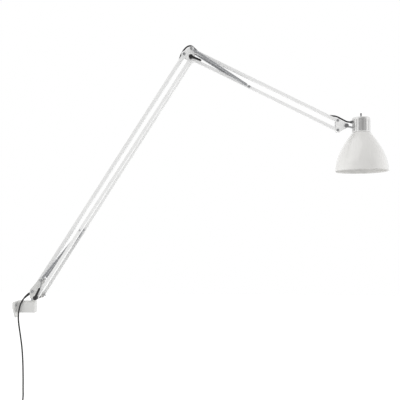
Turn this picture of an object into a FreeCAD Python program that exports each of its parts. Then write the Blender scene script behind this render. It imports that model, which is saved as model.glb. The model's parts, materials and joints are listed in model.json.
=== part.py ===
import FreeCAD, Part
import math
import os
import re
import Sketcher

# Articulating wall lamp: a wall plate and swivel bracket, a long spring-balanced lower
# arm, an elbow, a shorter upper arm and a bell shade on a tilting head.
# +X points away from the wall, +Z up, and the origin is on the plate's back face.
# Both arms lie in the plane Y = 0; their pivots turn about Y.

doc = FreeCAD.newDocument("ArticulatingWallLamp")
sheet = doc.addObject("Spreadsheet::Sheet", "Sizes")

SIZES = [
    # arms and pivots
    ("lower_rise", 57.3, "lower arm's angle above level, degrees"),
    ("upper_drop", 27.2, "upper arm's angle below level, degrees"),
    ("lower_length", 898, "lower arm, pivot to pivot"),
    ("lower_link", 28, "distance between the two lower bars"),
    ("upper_length", 512, "upper arm, pivot to pivot"),
    ("upper_link", 30, "distance between the two upper bars"),
    ("swivel_reach", 56.7, "swivel axis to the wall"),
    ("pivot_height", 57.2, "lower arm's rear pivot above the origin"),
    ("rear_bar", 11, "square side of the lower rear tube"),
    ("slim_bar", 10, "square side of the other tubes"),
    ("tube_wall", 1.2, "wall of every square tube"),
    ("bar_overrun", 6.5, "tube beyond its last pivot"),
    ("cap_flange", 1.5, "outer thickness of a tube end cap"),
    ("cap_depth", 3, "part of an end cap inside its tube"),
    ("front_spread", 28, "front tubes' centre from the middle, at the base"),
    ("elbow_spread", 13.3, "front tubes' centre from the middle, at the elbow"),
    ("running_gap", 0.3, "side gap between pieces that turn on each other"),
    ("pin_play", 0.05, "radial play of a turning fit"),
    ("thread", 0.6, "wall and bracket screws thinner than their holes"),
    ("seat_play", 1, "recess in the plate wider than a screw's head"),
    ("hub_wall", 2, "closed outer end of a clamp hub"),
    ("axle_tip", 1.5, "axle or bolt beyond its nut"),
    # pins and screws
    ("screw_pin", 5, "shank of the pivot screws and pins"),
    ("screw_head", 9, "head of the pivot screws and pins"),
    ("head_height", 2.2, "height of those heads"),
    ("axle", 6, "diameter of the two clamping axles"),
    ("nut_side", 5.6, "half width over flats of the axle nuts"),
    ("nut_height", 4.6, "height of the axle nuts"),
    # wall plate and bracket
    ("plate_width", 54, "top width of the wall plate"),
    ("plate_foot", 17, "bottom width of the wall plate"),
    ("plate_top", 25.5, "top edge of the plate above the origin"),
    ("plate_bottom", 26.5, "bottom edge of the plate below the origin"),
    ("plate_thick", 8.8, "plate thickness at the top"),
    ("plate_thin", 3.2, "plate thickness at the bottom"),
    ("plate_round", 5, "rounding of the plate's top corners"),
    ("foot_round", 7.5, "rounding of the plate's bottom corners"),
    ("wall_screw", 5, "bore for the wall screws"),
    ("screw_spacing", 33, "distance between the wall screws"),
    ("screw_level", 14, "wall screws above the origin"),
    ("screw_dome", 9.4, "head of a wall screw"),
    ("neck_width", 16, "width of the bracket's neck"),
    ("neck_end", 20, "where the neck meets the box"),
    ("neck_drop", 3, "neck lower than the box top"),
    ("box_nose", 9.3, "bracket box beyond the swivel axis"),
    ("box_width", 22, "width of the bracket box"),
    ("box_top", 27, "top of the bracket box"),
    ("box_bottom", 9.5, "bottom of the box below the origin"),
    ("box_round", 5.5, "rounding along the box's top"),
    ("bush_outer", 12, "outer diameter of the swivel bushes"),
    ("bush_flange", 15.5, "flange of the swivel bushes"),
    ("flange_thick", 1.5, "thickness of that flange"),
    ("bush_length", 9, "length of a swivel bush in its bore"),
    ("spigot", 9, "diameter of the swivel spigot"),
    ("collar", 13.5, "collar under the swivel head"),
    ("collar_top", 36, "top of the collar"),
    ("ring_room", 3.5, "depth of the recess under the box"),
    ("ring_thick", 1.2, "thickness of the retaining ring"),
    ("ring_outer", 14, "outer diameter of the retaining ring"),
    ("ring_play", 0.8, "recess beyond the retaining ring"),
    ("spigot_tip", 1, "spigot below the retaining ring"),
    ("bracket_screw", 5, "screws from the plate into the bracket"),
    ("bracket_pitch", 16, "distance between the bracket screws"),
    ("bracket_bite", 9, "length of a bracket screw in the neck"),
    # swivel head
    ("cheek_inside", 6.2, "middle to the inner face of a cheek"),
    ("cheek_thick", 3, "thickness of a cheek"),
    ("web_gap", 5.9, "rear web's inner face from the arm pivot"),
    ("web_thick", 1.6, "thickness of the rear web"),
    ("floor_thick", 2.4, "thickness of the head's floor"),
    ("cheek_round", 5, "rounding of the cheeks' corners"),
    ("head_margin", 7, "swivel head beyond the front pivot"),
    ("anchor_out", 30.3, "lower spring anchor beyond the swivel axis"),
    ("anchor_up", 36.3, "lower spring anchor above the rear pivot"),
    ("rivet", 6, "riveted stud of the spigot"),
    ("rivet_head", 10, "rivet head over the floor"),
    ("rivet_height", 1.6, "height of the rivet head"),
    ("anchor_pin", 4, "spring anchor stub"),
    ("anchor_head", 7, "head of an anchor stub"),
    ("anchor_cap", 1.5, "thickness of that head"),
    ("tie_rod", 2.4, "diameter of a tie rod"),
    ("tie_eye", 2.8, "thickness of a tie rod's eyes"),
    ("tie_eye_axle", 10, "tie rod's eye on the axle"),
    ("tie_eye_pin", 7.5, "tie rod's eye on the anchor stub"),
    ("spacer", 11, "diameter of the axle spacers"),
    ("relief_tilt", 33, "strain relief's angle below level, degrees"),
    ("relief_start", 6.2, "strain relief's inner end from the arm pivot"),
    ("relief_bore", 7, "hole in the web for the strain relief"),
    ("relief_tip", 5.8, "narrow end of the strain relief"),
    ("relief_length", 4.5, "straight part of the strain relief"),
    ("relief_taper", 3.5, "tapered part of the strain relief"),
    # clamp levers
    ("hub", 13.5, "diameter of a clamp hub"),
    ("base_hub", 12.5, "height of the base clamp hub"),
    ("elbow_hub", 13, "height of the elbow clamp hub"),
    ("base_handle", 34, "base handle, axis to tip"),
    ("elbow_handle", 36, "elbow handle, axis to tip"),
    ("handle_thick", 4.5, "thickness of a handle"),
    ("handle_root", 8, "handle's width at the hub"),
    ("handle_tip", 6, "handle's width at the tip"),
    ("base_lever_rise", 65, "base handle's angle above level, degrees"),
    ("elbow_lever_drop", 23, "elbow handle's angle below level, degrees"),
    # slots that the cord leaves the tubes by
    ("slot_width", 6.6, "width of a cord slot"),
    ("slot_back", 34, "lower slot's start before the elbow's rear pivot"),
    ("slot_run", 30, "length of a cord slot"),
    ("entry_start", 3, "upper slot's start beyond the elbow's top pivot"),
    # springs
    ("spring_outer", 8.5, "outer diameter of a spring"),
    ("spring_wire", 1.4, "diameter of the spring wire"),
    ("spring_out", 17, "spring's fixed end from the middle"),
    ("spring_in", 10, "spring's moving end from the middle"),
    ("lower_catch", 250, "lower spring pin along the front tubes"),
    ("upper_catch", 205, "upper spring pin along the bottom bar"),
    ("hook_length", 13, "spring pin to the first coil"),
    ("catch_pin", 5, "diameter of the lower spring pin"),
    ("pin_stand", 0.8, "lower spring pin beyond the tubes"),
    ("eye_play", 0.3, "play of a spring's eye on its pin"),
    # elbow
    ("elbow_inside", 5.8, "middle to the inner face of an elbow plate"),
    ("elbow_thick", 2.2, "thickness of an elbow plate"),
    ("elbow_round", 9, "rounding of the plates about their pivots"),
    # head
    ("link_inside", 5.3, "middle to the inner face of the head link"),
    ("link_thick", 2, "thickness of the head link's cheeks"),
    ("link_round", 6.5, "rounding of the head link about its pivots"),
    ("tilt_out", 26.2, "tilt pivot beyond the head pins"),
    ("tilt_level", 13, "tilt pivot above the lower head pin"),
    ("nose_round", 6, "rounding of the nose"),
    ("nose_slot", 4.6, "slot in the nose"),
    ("nose_room", 1, "slot behind the yoke's eye"),
    ("flat", 0.5, "yoke's flats below the stem's surface"),
    ("stem_thread", 5, "stem beyond the cap's wall"),
    ("stem_seat", 1.6, "stem nut beyond the cap's wall"),
    ("grips", 10, "grooves round the friction knob"),
    ("tongue", 4, "thickness of the yoke's tongue"),
    ("stem", 6, "diameter of the stem"),
    ("stem_drop", 14, "stem's angle below level, degrees"),
    ("knob", 12, "diameter of the friction knob"),
    ("knob_height", 8, "height of the friction knob"),
    ("lamp_reach", 46.5, "lamp axis beyond the tilt pivot"),
    ("cap_outer", 54.5, "diameter of the socket cap"),
    ("cap_wall", 1.2, "wall of the socket cap"),
    ("cap_height", 46.5, "height of the socket cap"),
    ("cap_round", 4, "rounding of the cap's top edge"),
    ("cap_above", 25.4, "cap top above the tilt pivot"),
    ("switch_bush", 10, "threaded neck of the switch"),
    ("switch_side", 14, "side of the switch body"),
    ("switch_depth", 10, "depth of the switch body"),
    ("switch_nut", 14, "round nut on the switch"),
    ("switch_nut_height", 3, "height of that nut"),
    ("bush_stand", 1, "switch bush above its nut"),
    ("toggle_depth", 2, "toggle's pivot below the nut's top"),
    ("toggle_well", 2.5, "well in the bush below the toggle's pivot"),
    ("toggle_swing", 1.5, "room round the toggle's root"),
    ("toggle_tail", 1.5, "toggle below its pivot"),
    ("toggle_length", 12, "toggle lever above its pivot"),
    ("toggle_end", 1.5, "rounded end of the toggle"),
    ("toggle_root", 2.6, "toggle lever's diameter at its root"),
    ("toggle_tip", 4.4, "toggle lever's diameter at its tip"),
    ("gland_rise", 12.4, "cable gland above the tilt pivot"),
    ("gland_outer", 9, "diameter of the cable gland"),
    ("gland_length", 5, "gland outside the cap"),
    ("holder_outer", 40, "diameter of the lampholder"),
    ("holder_bore", 27.4, "bore of the lampholder's screw shell"),
    ("holder_wall", 0.6, "thickness of the screw shell"),
    ("holder_drop", 30, "lampholder below the cap"),
    ("holder_depth", 56, "depth of the lampholder"),
    ("holder_floor", 5, "thickness of the lampholder's floor"),
    ("holder_flange", 2, "flange of the lampholder"),
    ("contact", 8, "width of the centre contact"),
    ("contact_height", 2, "height of the centre contact"),
    ("shade_rim", 160, "shade's diameter at the rim"),
    ("shade_neck", 55, "shade's diameter at the neck"),
    ("shade_height", 121, "height of the shade"),
    ("shade_wall", 1.6, "wall of the shade"),
    ("shade_ring", 50, "diameter of the shade ring"),
    ("ring_height", 5, "height of the shade ring"),
    # cord
    ("cord", 5, "diameter of the cord"),
    ("run_start", 28.4, "cord's straight run from the rear pivot"),
    ("run_stop", 62.4, "that run's end before the elbow"),
    ("upper_run", 56.4, "cord's upper run from the pivot at each end"),
    ("coil_ring", 58, "mean diameter of the cord's coil"),
    ("coil_bundle", 18.5, "thickness of the coil's bundle"),
    ("tie_width", 8, "width of the tie round the coil"),
    ("tie_thick", 1, "thickness of that tie"),
    ("plug_body", 34, "diameter of the plug's body"),
    ("plug_length", 36, "length of the plug's body"),
    ("plug_neck", 10, "diameter of the plug's sleeve"),
    ("sleeve_length", 18, "length of the plug's sleeve"),
    ("plug_pin", 4.8, "diameter of a plug pin"),
    ("pin_length", 19, "length of a plug pin"),
    ("pin_end", 1, "rounded end of a plug pin"),
    ("pin_pitch", 19, "distance between the plug pins"),
]
ALIASES = set()
for row, (alias, value, meaning) in enumerate(SIZES, start=1):
    sheet.set("A%d" % row, meaning)
    sheet.set("B%d" % row, str(value))
    sheet.setAlias("B%d" % row, alias)
    ALIASES.add(alias)
doc.recompute()

V = FreeCAD.Vector
ALONG = {"X": (V(0, 1, 0), 90), "Y": (V(1, 0, 0), -90), "Z": (V(0, 0, 1), 0)}
nodes = {}


def size(alias):
    """A driving size as a number, read from the sheet."""
    return float(sheet.get(alias))


def bind(thing, prop, text):
    """Tie a property to a formula; a word that names a size reads its cell."""
    def cell(match):
        word = match.group()
        return "Sizes." + word if word in ALIASES else word
    thing.setExpression(prop, re.sub(r"[a-z_]+", cell, str(text)))


def locate(thing, x, y, z):
    """Tie the three coordinates of a thing's base point."""
    for axis, text in (("x", x), ("y", y), ("z", z)):
        bind(thing, "Placement.Base." + axis, text)


def block(x, y, z, length, width, height):
    """Box from its lowest corner."""
    box = doc.addObject("Part::Box", "Block")
    for prop, text in (("Length", length), ("Width", width), ("Height", height)):
        bind(box, prop, text)
    locate(box, x, y, z)
    return box


def rod(along, x, y, z, across, length, tip=None):
    """Cylinder from a base point along an axis; with a tip diameter, a cone."""
    round_bar = doc.addObject("Part::Cylinder" if tip is None else "Part::Cone", "Rod")
    if tip is None:
        bind(round_bar, "Radius", "(%s) / 2" % across)
    else:
        bind(round_bar, "Radius1", "(%s) / 2" % across)
        bind(round_bar, "Radius2", "(%s) / 2" % tip)
    bind(round_bar, "Height", length)
    axis, turn = ALONG[along]
    round_bar.Placement = FreeCAD.Placement(V(0, 0, 0), FreeCAD.Rotation(axis, turn))
    locate(round_bar, x, y, z)
    return round_bar


def join(*pieces):
    """One solid, or a group of solids, from several pieces."""
    fuse = doc.addObject("Part::MultiFuse", "Join")
    fuse.Shapes = list(pieces)
    fuse.Refine = True
    return fuse


def cut(base, *tools):
    """Base less every tool; the volume shows that each tool bites."""
    for tool in tools:
        less = doc.addObject("Part::Cut", "Cut")
        less.Base = base
        less.Tool = tool
        doc.recompute()
        assert less.Shape.Volume < less.Base.Shape.Volume - 1e-6, less.Name
        base = less
    return base


def common(first, second):
    """What two pieces share."""
    shared = doc.addObject("Part::MultiCommon", "Common")
    shared.Shapes = [first, second]
    return shared


def grouped(*pieces):
    """Separate solids of one kind, kept apart in one node."""
    group = doc.addObject("Part::Compound", "Group")
    group.Links = list(pieces)
    return group


def node(name, piece, placement=None):
    """Name a sub-part and put it in its place."""
    if placement is not None:
        piece = grouped(piece)
        piece.Placement = placement
    piece.Label = name
    nodes[name] = piece
    return piece


def profile(body, plane, corners, holes=()):
    """Closed outline; each corner is held by two tied distances, each hole by three."""
    sketch = body.newObject("Sketcher::SketchObject", "Outline")
    roles = {item.Role: item for item in body.Origin.OriginFeatures}
    sketch.AttachmentSupport = [(roles[plane + "_Plane"], "")]
    sketch.MapMode = "FlatFace"
    count = len(corners)
    for index in range(count):
        sketch.addGeometry(Part.LineSegment(start_point(corners, index), start_point(corners, index + 1)))
    for index in range(count):
        sketch.addConstraint(Sketcher.Constraint("Coincident", index, 2, (index + 1) % count, 1))
    for index, (across, upward) in enumerate(corners):
        pin_down(sketch, index, 1, across, upward)
    for across, upward, diameter in holes:
        centre = V(number(across), number(upward), 0)
        index = sketch.addGeometry(Part.Circle(centre, V(0, 0, 1), number(diameter) / 2))
        pin_down(sketch, index, 3, across, upward)
        hold(sketch, Sketcher.Constraint("Diameter", index, number(diameter)), diameter)
    return sketch


def number(text):
    """A formula's value, worked out by the sheet's own formula engine."""
    probe = doc.getObject("Probe") or doc.addObject("App::FeaturePython", "Probe")
    if not hasattr(probe, "Value"):
        probe.addProperty("App::PropertyFloat", "Value")
    bind(probe, "Value", text)
    probe.recompute()
    return probe.Value


def start_point(corners, index):
    across, upward = corners[index % len(corners)]
    return V(number(across), number(upward), 0)


def hold(sketch, constraint, text):
    """Add a constraint and tie its value to a formula."""
    index = sketch.addConstraint(constraint)
    bind(sketch, "Constraints[%d]" % index, text)


def pin_down(sketch, index, point, across, upward):
    """Hold a point of a sketch at two tied distances from the origin."""
    hold(sketch, Sketcher.Constraint("DistanceX", index, point, number(across)), across)
    hold(sketch, Sketcher.Constraint("DistanceY", index, point, number(upward)), upward)


def plate(plane, corners, thickness, holes=(), rounds=None):
    """Flat piece of even thickness, centred on its plane; rounds maps a corner to a radius."""
    body = doc.addObject("PartDesign::Body", "Plate")
    sketch = profile(body, plane, corners, holes)
    pad = body.newObject("PartDesign::Pad", "Thickness")
    pad.Profile = sketch
    pad.SideType = "Symmetric"
    bind(pad, "Length", thickness)
    doc.recompute()
    by_radius = {}
    for index, radius in (rounds or {}).items():
        corner = sketch.Placement.multVec(start_point(corners, index))
        by_radius.setdefault(radius, []).extend(corner_edges(pad.Shape, corner, sketch))
    last = pad
    for radius, edges in by_radius.items():
        points = [edge.CenterOfMass for edge in edges]
        names = ["Edge%d" % (number_of + 1) for number_of, edge in enumerate(last.Shape.Edges)
                 if any(edge.CenterOfMass.distanceToPoint(point) < 1e-4 for point in points)]
        fillet = body.newObject("PartDesign::Fillet", "Rounding")
        fillet.Base = (last, names)
        bind(fillet, "Radius", radius)
        doc.recompute()
        last = fillet
    body.Tip = last
    return body


def corner_edges(shape, corner, sketch):
    """The edges that run through a corner, square to the sketch."""
    normal = sketch.Placement.Rotation.multVec(V(0, 0, 1))
    found = []
    for edge in shape.Edges:
        offsets = [vertex.Point.sub(corner) for vertex in edge.Vertexes]
        if all(offset.sub(normal * offset.dot(normal)).Length < 1e-4 for offset in offsets):
            found.append(edge)
    return found


def turning(corners):
    """Turned piece: an outline of (radius, height) corners, all round the Z axis."""
    body = doc.addObject("PartDesign::Body", "Turned")
    sketch = profile(body, "XZ", corners)
    revolution = body.newObject("PartDesign::Revolution", "Turning")
    revolution.Profile = sketch
    revolution.ReferenceAxis = (sketch, ["V_Axis"])
    revolution.Angle = 360
    body.Tip = revolution
    return body


def mirrored(piece):
    """The same piece on the other side of the arms' plane."""
    mirror = doc.addObject("Part::Mirroring", "Mirror")
    mirror.Source = piece
    mirror.Normal = V(0, 1, 0)
    return mirror


def hexagon(x, y, z, half_flats, length):
    """Hexagonal bar along Y."""
    prism = doc.addObject("Part::Prism", "Hexagon")
    bind(prism, "Circumradius", "(%s) / cos(30)" % half_flats)
    bind(prism, "Height", length)
    axis, turn = ALONG["Y"]
    prism.Placement = FreeCAD.Placement(V(0, 0, 0), FreeCAD.Rotation(axis, turn))
    locate(prism, x, y, z)
    return prism


def frame(point, angle=0.0):
    """Placement at a point, turned about Y; a positive angle lowers the X axis."""
    return FreeCAD.Placement(point, FreeCAD.Rotation(V(0, 1, 0), angle))


# --- where the pivots are -------------------------------------------------------------
rear_pivot = V(size("swivel_reach"), 0, size("pivot_height"))
lower_frame = frame(rear_pivot, -size("lower_rise"))
front_pivot = lower_frame.multVec(V(0, 0, -size("lower_link")))
front_frame = frame(front_pivot, -size("lower_rise"))
elbow_rear = lower_frame.multVec(V(size("lower_length"), 0, 0))
elbow_low = front_frame.multVec(V(size("lower_length"), 0, 0))
elbow_top = elbow_low + V(0, 0, size("upper_link"))
top_frame = frame(elbow_top, size("upper_drop"))
bottom_frame = frame(elbow_low, size("upper_drop"))
head_top = top_frame.multVec(V(size("upper_length"), 0, 0))
head_low = bottom_frame.multVec(V(size("upper_length"), 0, 0))
tilt_pivot = head_low + V(size("tilt_out"), 0, size("tilt_level"))
anchor = rear_pivot + V(size("anchor_out"), 0, size("anchor_up"))
ANCHOR_X = "(swivel_reach + anchor_out)"
ANCHOR_Z = "(pivot_height + anchor_up)"
FRONT_X = "(swivel_reach + lower_link * sin(lower_rise))"
FRONT_Z = "(pivot_height - lower_link * cos(lower_rise))"
CHEEK_OUT = "(cheek_inside + cheek_thick)"
HUB_START = "(front_spread + slim_bar / 2 + running_gap)"
LEAN = math.degrees(math.asin((size("front_spread") - size("elbow_spread")) / size("lower_length")))

# --- wall plate and bracket -----------------------------------------------------------
def plate_face(level):
    """How far the plate's sloping front stands from the wall at some level."""
    share = "(%s + plate_bottom) / (plate_top + plate_bottom)" % level
    return "(plate_thin + (plate_thick - plate_thin) * %s)" % share


# tapered shield, thinner towards its foot
shield = plate("YZ", [("-plate_width / 2", "plate_top"), ("-plate_width / 2", "screw_level / 2"),
                      ("-plate_foot / 2", "-plate_bottom"), ("plate_foot / 2", "-plate_bottom"),
                      ("plate_width / 2", "screw_level / 2"), ("plate_width / 2", "plate_top")],
               "2 * plate_thick", rounds={0: "plate_round", 5: "plate_round", 2: "foot_round", 3: "foot_round"})
wedge = plate("XZ", [("0", "-plate_bottom"), ("plate_thin", "-plate_bottom"),
                     ("plate_thick", "plate_top"), ("0", "plate_top")], "2 * plate_width")
screw_seat = "(%s - screw_dome / 8)" % plate_face("screw_level")
wall_plate = common(shield, wedge)
screw_tools = []
for side in ("-", ""):
    across = side + "screw_spacing / 2"
    screw_tools.append(rod("X", "0", across, "screw_level", "wall_screw", "plate_thick"))
    screw_tools.append(rod("X", screw_seat, across, "screw_level", "screw_dome + seat_play", "plate_thick"))
for level in ("bracket_pitch / 2", "-bracket_pitch / 2"):
    z = level + " + box_top / 4"
    screw_tools.append(rod("X", "0", "0", z, "bracket_screw", "plate_thick"))
    screw_tools.append(rod("X", "0", "0", z, "2 * bracket_screw", "plate_thin / 2", "bracket_screw"))
node("wall_plate", cut(wall_plate, *screw_tools))

wall_screws = []
for side in ("-", ""):
    across = side + "screw_spacing / 2"
    shank = rod("X", "running_gap", across, "screw_level", "wall_screw - thread", screw_seat + " - running_gap")
    dome = rod("X", screw_seat, across, "screw_level", "screw_dome", "screw_dome / 4", "screw_dome * 0.7")
    slot = block("%s + screw_dome / 7" % screw_seat, "%s - screw_dome" % across,
                 "screw_level - screw_dome / 16", "screw_dome", "2 * screw_dome", "screw_dome / 8")
    wall_screws.append(cut(join(shank, dome), slot))

# casting: a narrow neck on the plate's sloping face and a box that carries the swivel
NECK_TOP = "(box_top - neck_drop)"
BOX_END = "(swivel_reach + box_nose)"
neck = plate("XZ", [(plate_face("-box_bottom"), "-box_bottom"), ("neck_end", "-box_bottom"),
                    ("neck_end", NECK_TOP), (plate_face(NECK_TOP), NECK_TOP)], "neck_width")
casting = plate("YZ", [("-box_width / 2", "-box_bottom"), ("box_width / 2", "-box_bottom"),
                       ("box_width / 2", "box_top"), ("-box_width / 2", "box_top")],
                "%s - neck_end" % BOX_END, rounds={2: "box_round", 3: "box_round"})
locate(casting, "(%s + neck_end) / 2" % BOX_END, "0", "0")
bracket_tools = [rod("Z", "swivel_reach", "0", "-box_bottom", "bush_outer", "box_bottom + box_top"),
                 rod("Z", "swivel_reach", "0", "-box_bottom", "ring_outer + 2 * ring_play", "ring_room")]
for level in ("bracket_pitch / 2", "-bracket_pitch / 2"):
    z = level + " + box_top / 4"
    bracket_tools.append(rod("X", "0", "0", z, "bracket_screw - thread", "plate_thick + bracket_bite"))
node("bracket_arm", cut(join(neck, casting), *bracket_tools))

bracket_screws = []
for level in ("bracket_pitch / 2", "-bracket_pitch / 2"):
    z = level + " + box_top / 4"
    shank = rod("X", "0", "0", z, "bracket_screw - thread", "plate_thick + bracket_bite - running_gap")
    head = rod("X", "0", "0", z, "2 * bracket_screw - thread", "plate_thin / 2", "bracket_screw - thread")
    bracket_screws.append(join(shank, head))
node("plate_screws", grouped(*wall_screws, *bracket_screws))

swivel_bushes = []
for bottom, flange in (("box_top - bush_length", "box_top"), ("ring_room - box_bottom", None)):
    sleeve = rod("Z", "swivel_reach", "0", bottom, "bush_outer", "bush_length")
    if flange:
        sleeve = join(sleeve, rod("Z", "swivel_reach", "0", flange, "bush_flange", "flange_thick"))
    swivel_bushes.append(cut(sleeve, rod("Z", "swivel_reach", "0", bottom, "spigot + 2 * pin_play",
                                         "bush_length + flange_thick")))
node("swivel_bushes", grouped(*swivel_bushes))

# --- swivel head ----------------------------------------------------------------------
RING_LOW = "(ring_room - box_bottom - ring_thick - pin_play)"
SPIGOT_END = "(%s - spigot_tip)" % RING_LOW
COLLAR_LOW = "(box_top + flange_thick + pin_play)"
FLOOR_TOP = "(collar_top + floor_thick)"
GROOVE = "spigot * 0.4"
spigot = turning([("0", SPIGOT_END), ("spigot / 2", SPIGOT_END), ("spigot / 2", RING_LOW),
                  (GROOVE, RING_LOW), (GROOVE, RING_LOW + " + ring_thick"),
                  ("spigot / 2", RING_LOW + " + ring_thick"), ("spigot / 2", COLLAR_LOW),
                  ("collar / 2", COLLAR_LOW), ("collar / 2", "collar_top"), ("rivet / 2", "collar_top"),
                  ("rivet / 2", FLOOR_TOP), ("rivet_head / 2", FLOOR_TOP),
                  ("rivet_head / 3", FLOOR_TOP + " + rivet_height"), ("0", FLOOR_TOP + " + rivet_height")])
node("swivel_spigot", spigot, frame(V(size("swivel_reach"), 0, 0)))

ring = rod("Z", "swivel_reach", "0", RING_LOW, "ring_outer", "ring_thick")
ring_bore = rod("Z", "swivel_reach", "0", RING_LOW, "2 * " + GROOVE, "ring_thick")
ring_mouth = block("swivel_reach", "-spigot / 3", RING_LOW, "ring_outer", "spigot / 1.5", "ring_thick")
node("swivel_retaining_ring", cut(ring, ring_bore, ring_mouth))

# strain relief: a sleeve in the rear web, sloping down towards the wall
relief_frame = FreeCAD.Placement(rear_pivot, FreeCAD.Rotation(V(0, 1, 0), -90 - size("relief_tilt")))


def sloping(piece):
    """Turn a piece built along Z so that it points out of the head, down to the wall."""
    piece.Placement = relief_frame
    return piece


HEAD_LEFT = "(swivel_reach - web_gap - web_thick)"
head_outline = plate("XZ", [(HEAD_LEFT, "collar_top"), (FRONT_X + " + head_margin", "collar_top"),
                            (FRONT_X + " + head_margin", FRONT_Z + " + axle * 1.5"),
                            (ANCHOR_X + " + cheek_round", ANCHOR_Z + " - cheek_round"),
                            (ANCHOR_X + " + anchor_pin", ANCHOR_Z + " + anchor_pin"),
                            (ANCHOR_X + " - 2 * anchor_pin", ANCHOR_Z + " + anchor_pin"),
                            (HEAD_LEFT, "pivot_height + cheek_round")],
                     "2 * " + CHEEK_OUT,
                     rounds={1: "cheek_round", 4: "anchor_pin", 5: "anchor_pin", 6: "cheek_round"})
slot = block("swivel_reach - web_gap", "-cheek_inside", FLOOR_TOP, ANCHOR_X, "2 * cheek_inside",
             "2 * " + ANCHOR_Z)
relief_hole = rod("Z", "0", "0", "relief_start / 2", "relief_bore", "relief_start / 2 + relief_bore")
head_tools = [slot, rod("Z", "swivel_reach", "0", "collar_top", "rivet", "floor_thick"),
              rod("Y", "swivel_reach", "-" + CHEEK_OUT, "pivot_height", "screw_pin", "2 * " + CHEEK_OUT),
              rod("Y", FRONT_X, "-" + CHEEK_OUT, FRONT_Z, "axle", "2 * " + CHEEK_OUT),
              rod("Y", ANCHOR_X, "-" + CHEEK_OUT, ANCHOR_Z, "anchor_pin", "2 * " + CHEEK_OUT),
              sloping(grouped(relief_hole))]
node("swivel_head", cut(head_outline, *head_tools))

relief = join(rod("Z", "0", "0", "relief_start", "relief_bore", "relief_length"),
              rod("Z", "0", "0", "relief_start + relief_length", "relief_bore", "relief_taper", "relief_tip"))
relief = cut(relief, rod("Z", "0", "0", "relief_start", "cord + 2 * pin_play", "relief_length + relief_taper"))
node("strain_relief", relief, relief_frame)


def pivot_screws(x, z, inner, outer):
    """A pair of shoulder screws, one from each side, that a bar turns on."""
    shank = rod("Y", x, inner, z, "screw_pin", "%s - %s" % (outer, inner))
    head = rod("Y", x, outer, z, "screw_head", "head_height")
    recess = rod("Y", x, outer + " + head_height / 2", z, "screw_pin * 0.6", "head_height")
    screw = cut(join(shank, head), recess)
    return grouped(screw, mirrored(screw))


BAR_INSIDE = "(rear_bar / 2 - tube_wall)"
node("rear_pivot_screws", pivot_screws("swivel_reach", "pivot_height", BAR_INSIDE, CHEEK_OUT))

AXLE_FRONT = "(%s + base_hub - hub_wall)" % HUB_START
NUT_END = "(%s + nut_height + axle_tip)" % HUB_START
node("base_axle", rod("Y", FRONT_X, "-" + AXLE_FRONT, FRONT_Z, "axle", "%s + %s" % (AXLE_FRONT, NUT_END)))
nut = hexagon(FRONT_X, HUB_START, FRONT_Z, "nut_side", "nut_height")
node("base_axle_nut", cut(nut, rod("Y", FRONT_X, HUB_START, FRONT_Z, "axle", "nut_height")))

SPACER_START = "(%s + tie_eye)" % CHEEK_OUT
spacer_length = "front_spread - slim_bar / 2 - running_gap - %s" % SPACER_START
spacer = cut(rod("Y", FRONT_X, SPACER_START, FRONT_Z, "spacer", spacer_length),
             rod("Y", FRONT_X, SPACER_START, FRONT_Z, "axle", spacer_length))
node("axle_spacers", grouped(spacer, mirrored(spacer)))

# tie rods: from the axle up to the spring anchors, outside the cheeks
tie_angle = -math.degrees(math.atan2(anchor.z - front_pivot.z, anchor.x - front_pivot.x))
TIE_SPAN = "sqrt((%s - %s) ^ 2 + (%s - %s) ^ 2)" % (ANCHOR_X, FRONT_X, ANCHOR_Z, FRONT_Z)
tie_bar = join(rod("Y", "0", CHEEK_OUT, "0", "tie_eye_axle", "tie_eye"),
               rod("Y", TIE_SPAN, CHEEK_OUT, "0", "tie_eye_pin", "tie_eye"),
               rod("X", "axle / 2", "%s + tie_eye / 2" % CHEEK_OUT, "0", "tie_rod",
                   "%s - axle / 2 - anchor_pin / 2" % TIE_SPAN))
tie_bar = cut(tie_bar, rod("Y", "0", CHEEK_OUT, "0", "axle", "tie_eye"),
              rod("Y", TIE_SPAN, CHEEK_OUT, "0", "anchor_pin", "tie_eye"))
node("tie_rods", grouped(tie_bar, mirrored(tie_bar)), frame(front_pivot, tie_angle))

STUB_END = "(spring_out + spring_wire / 2 + running_gap)"
stub = join(rod("Y", ANCHOR_X, "cheek_inside", ANCHOR_Z, "anchor_pin", "%s - cheek_inside" % STUB_END),
            rod("Y", ANCHOR_X, STUB_END, ANCHOR_Z, "anchor_head", "anchor_cap"))
node("spring_anchors", grouped(stub, mirrored(stub)))


def clamp_lever(start, hub_height, reach):
    """Clamp lever on the near side: a blind hub on the axle's end and a tapered handle."""
    hub = rod("Y", "0", "-(%s + %s)" % (start, hub_height), "0", "hub", hub_height)
    handle = plate("XZ", [("0", "-handle_root / 2"), ("%s - handle_tip / 2" % reach, "-handle_tip / 2"),
                          ("%s - handle_tip / 2" % reach, "handle_tip / 2"), ("0", "handle_root / 2")],
                   "handle_thick")
    locate(handle, "0", "-(%s + %s - handle_thick / 2)" % (start, hub_height), "0")
    tip = rod("Y", "%s - handle_tip / 2" % reach, "-(%s + %s)" % (start, hub_height), "0", "handle_tip",
              "handle_thick")
    bore = rod("Y", "0", "-(%s + %s - hub_wall)" % (start, hub_height), "0", "axle + 2 * pin_play", hub_height)
    return cut(join(hub, handle, tip), bore)


node("base_clamp_lever", clamp_lever(HUB_START, "base_hub", "base_handle"),
     frame(front_pivot, -size("base_lever_rise")))

# --- lower arm ------------------------------------------------------------------------


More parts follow.
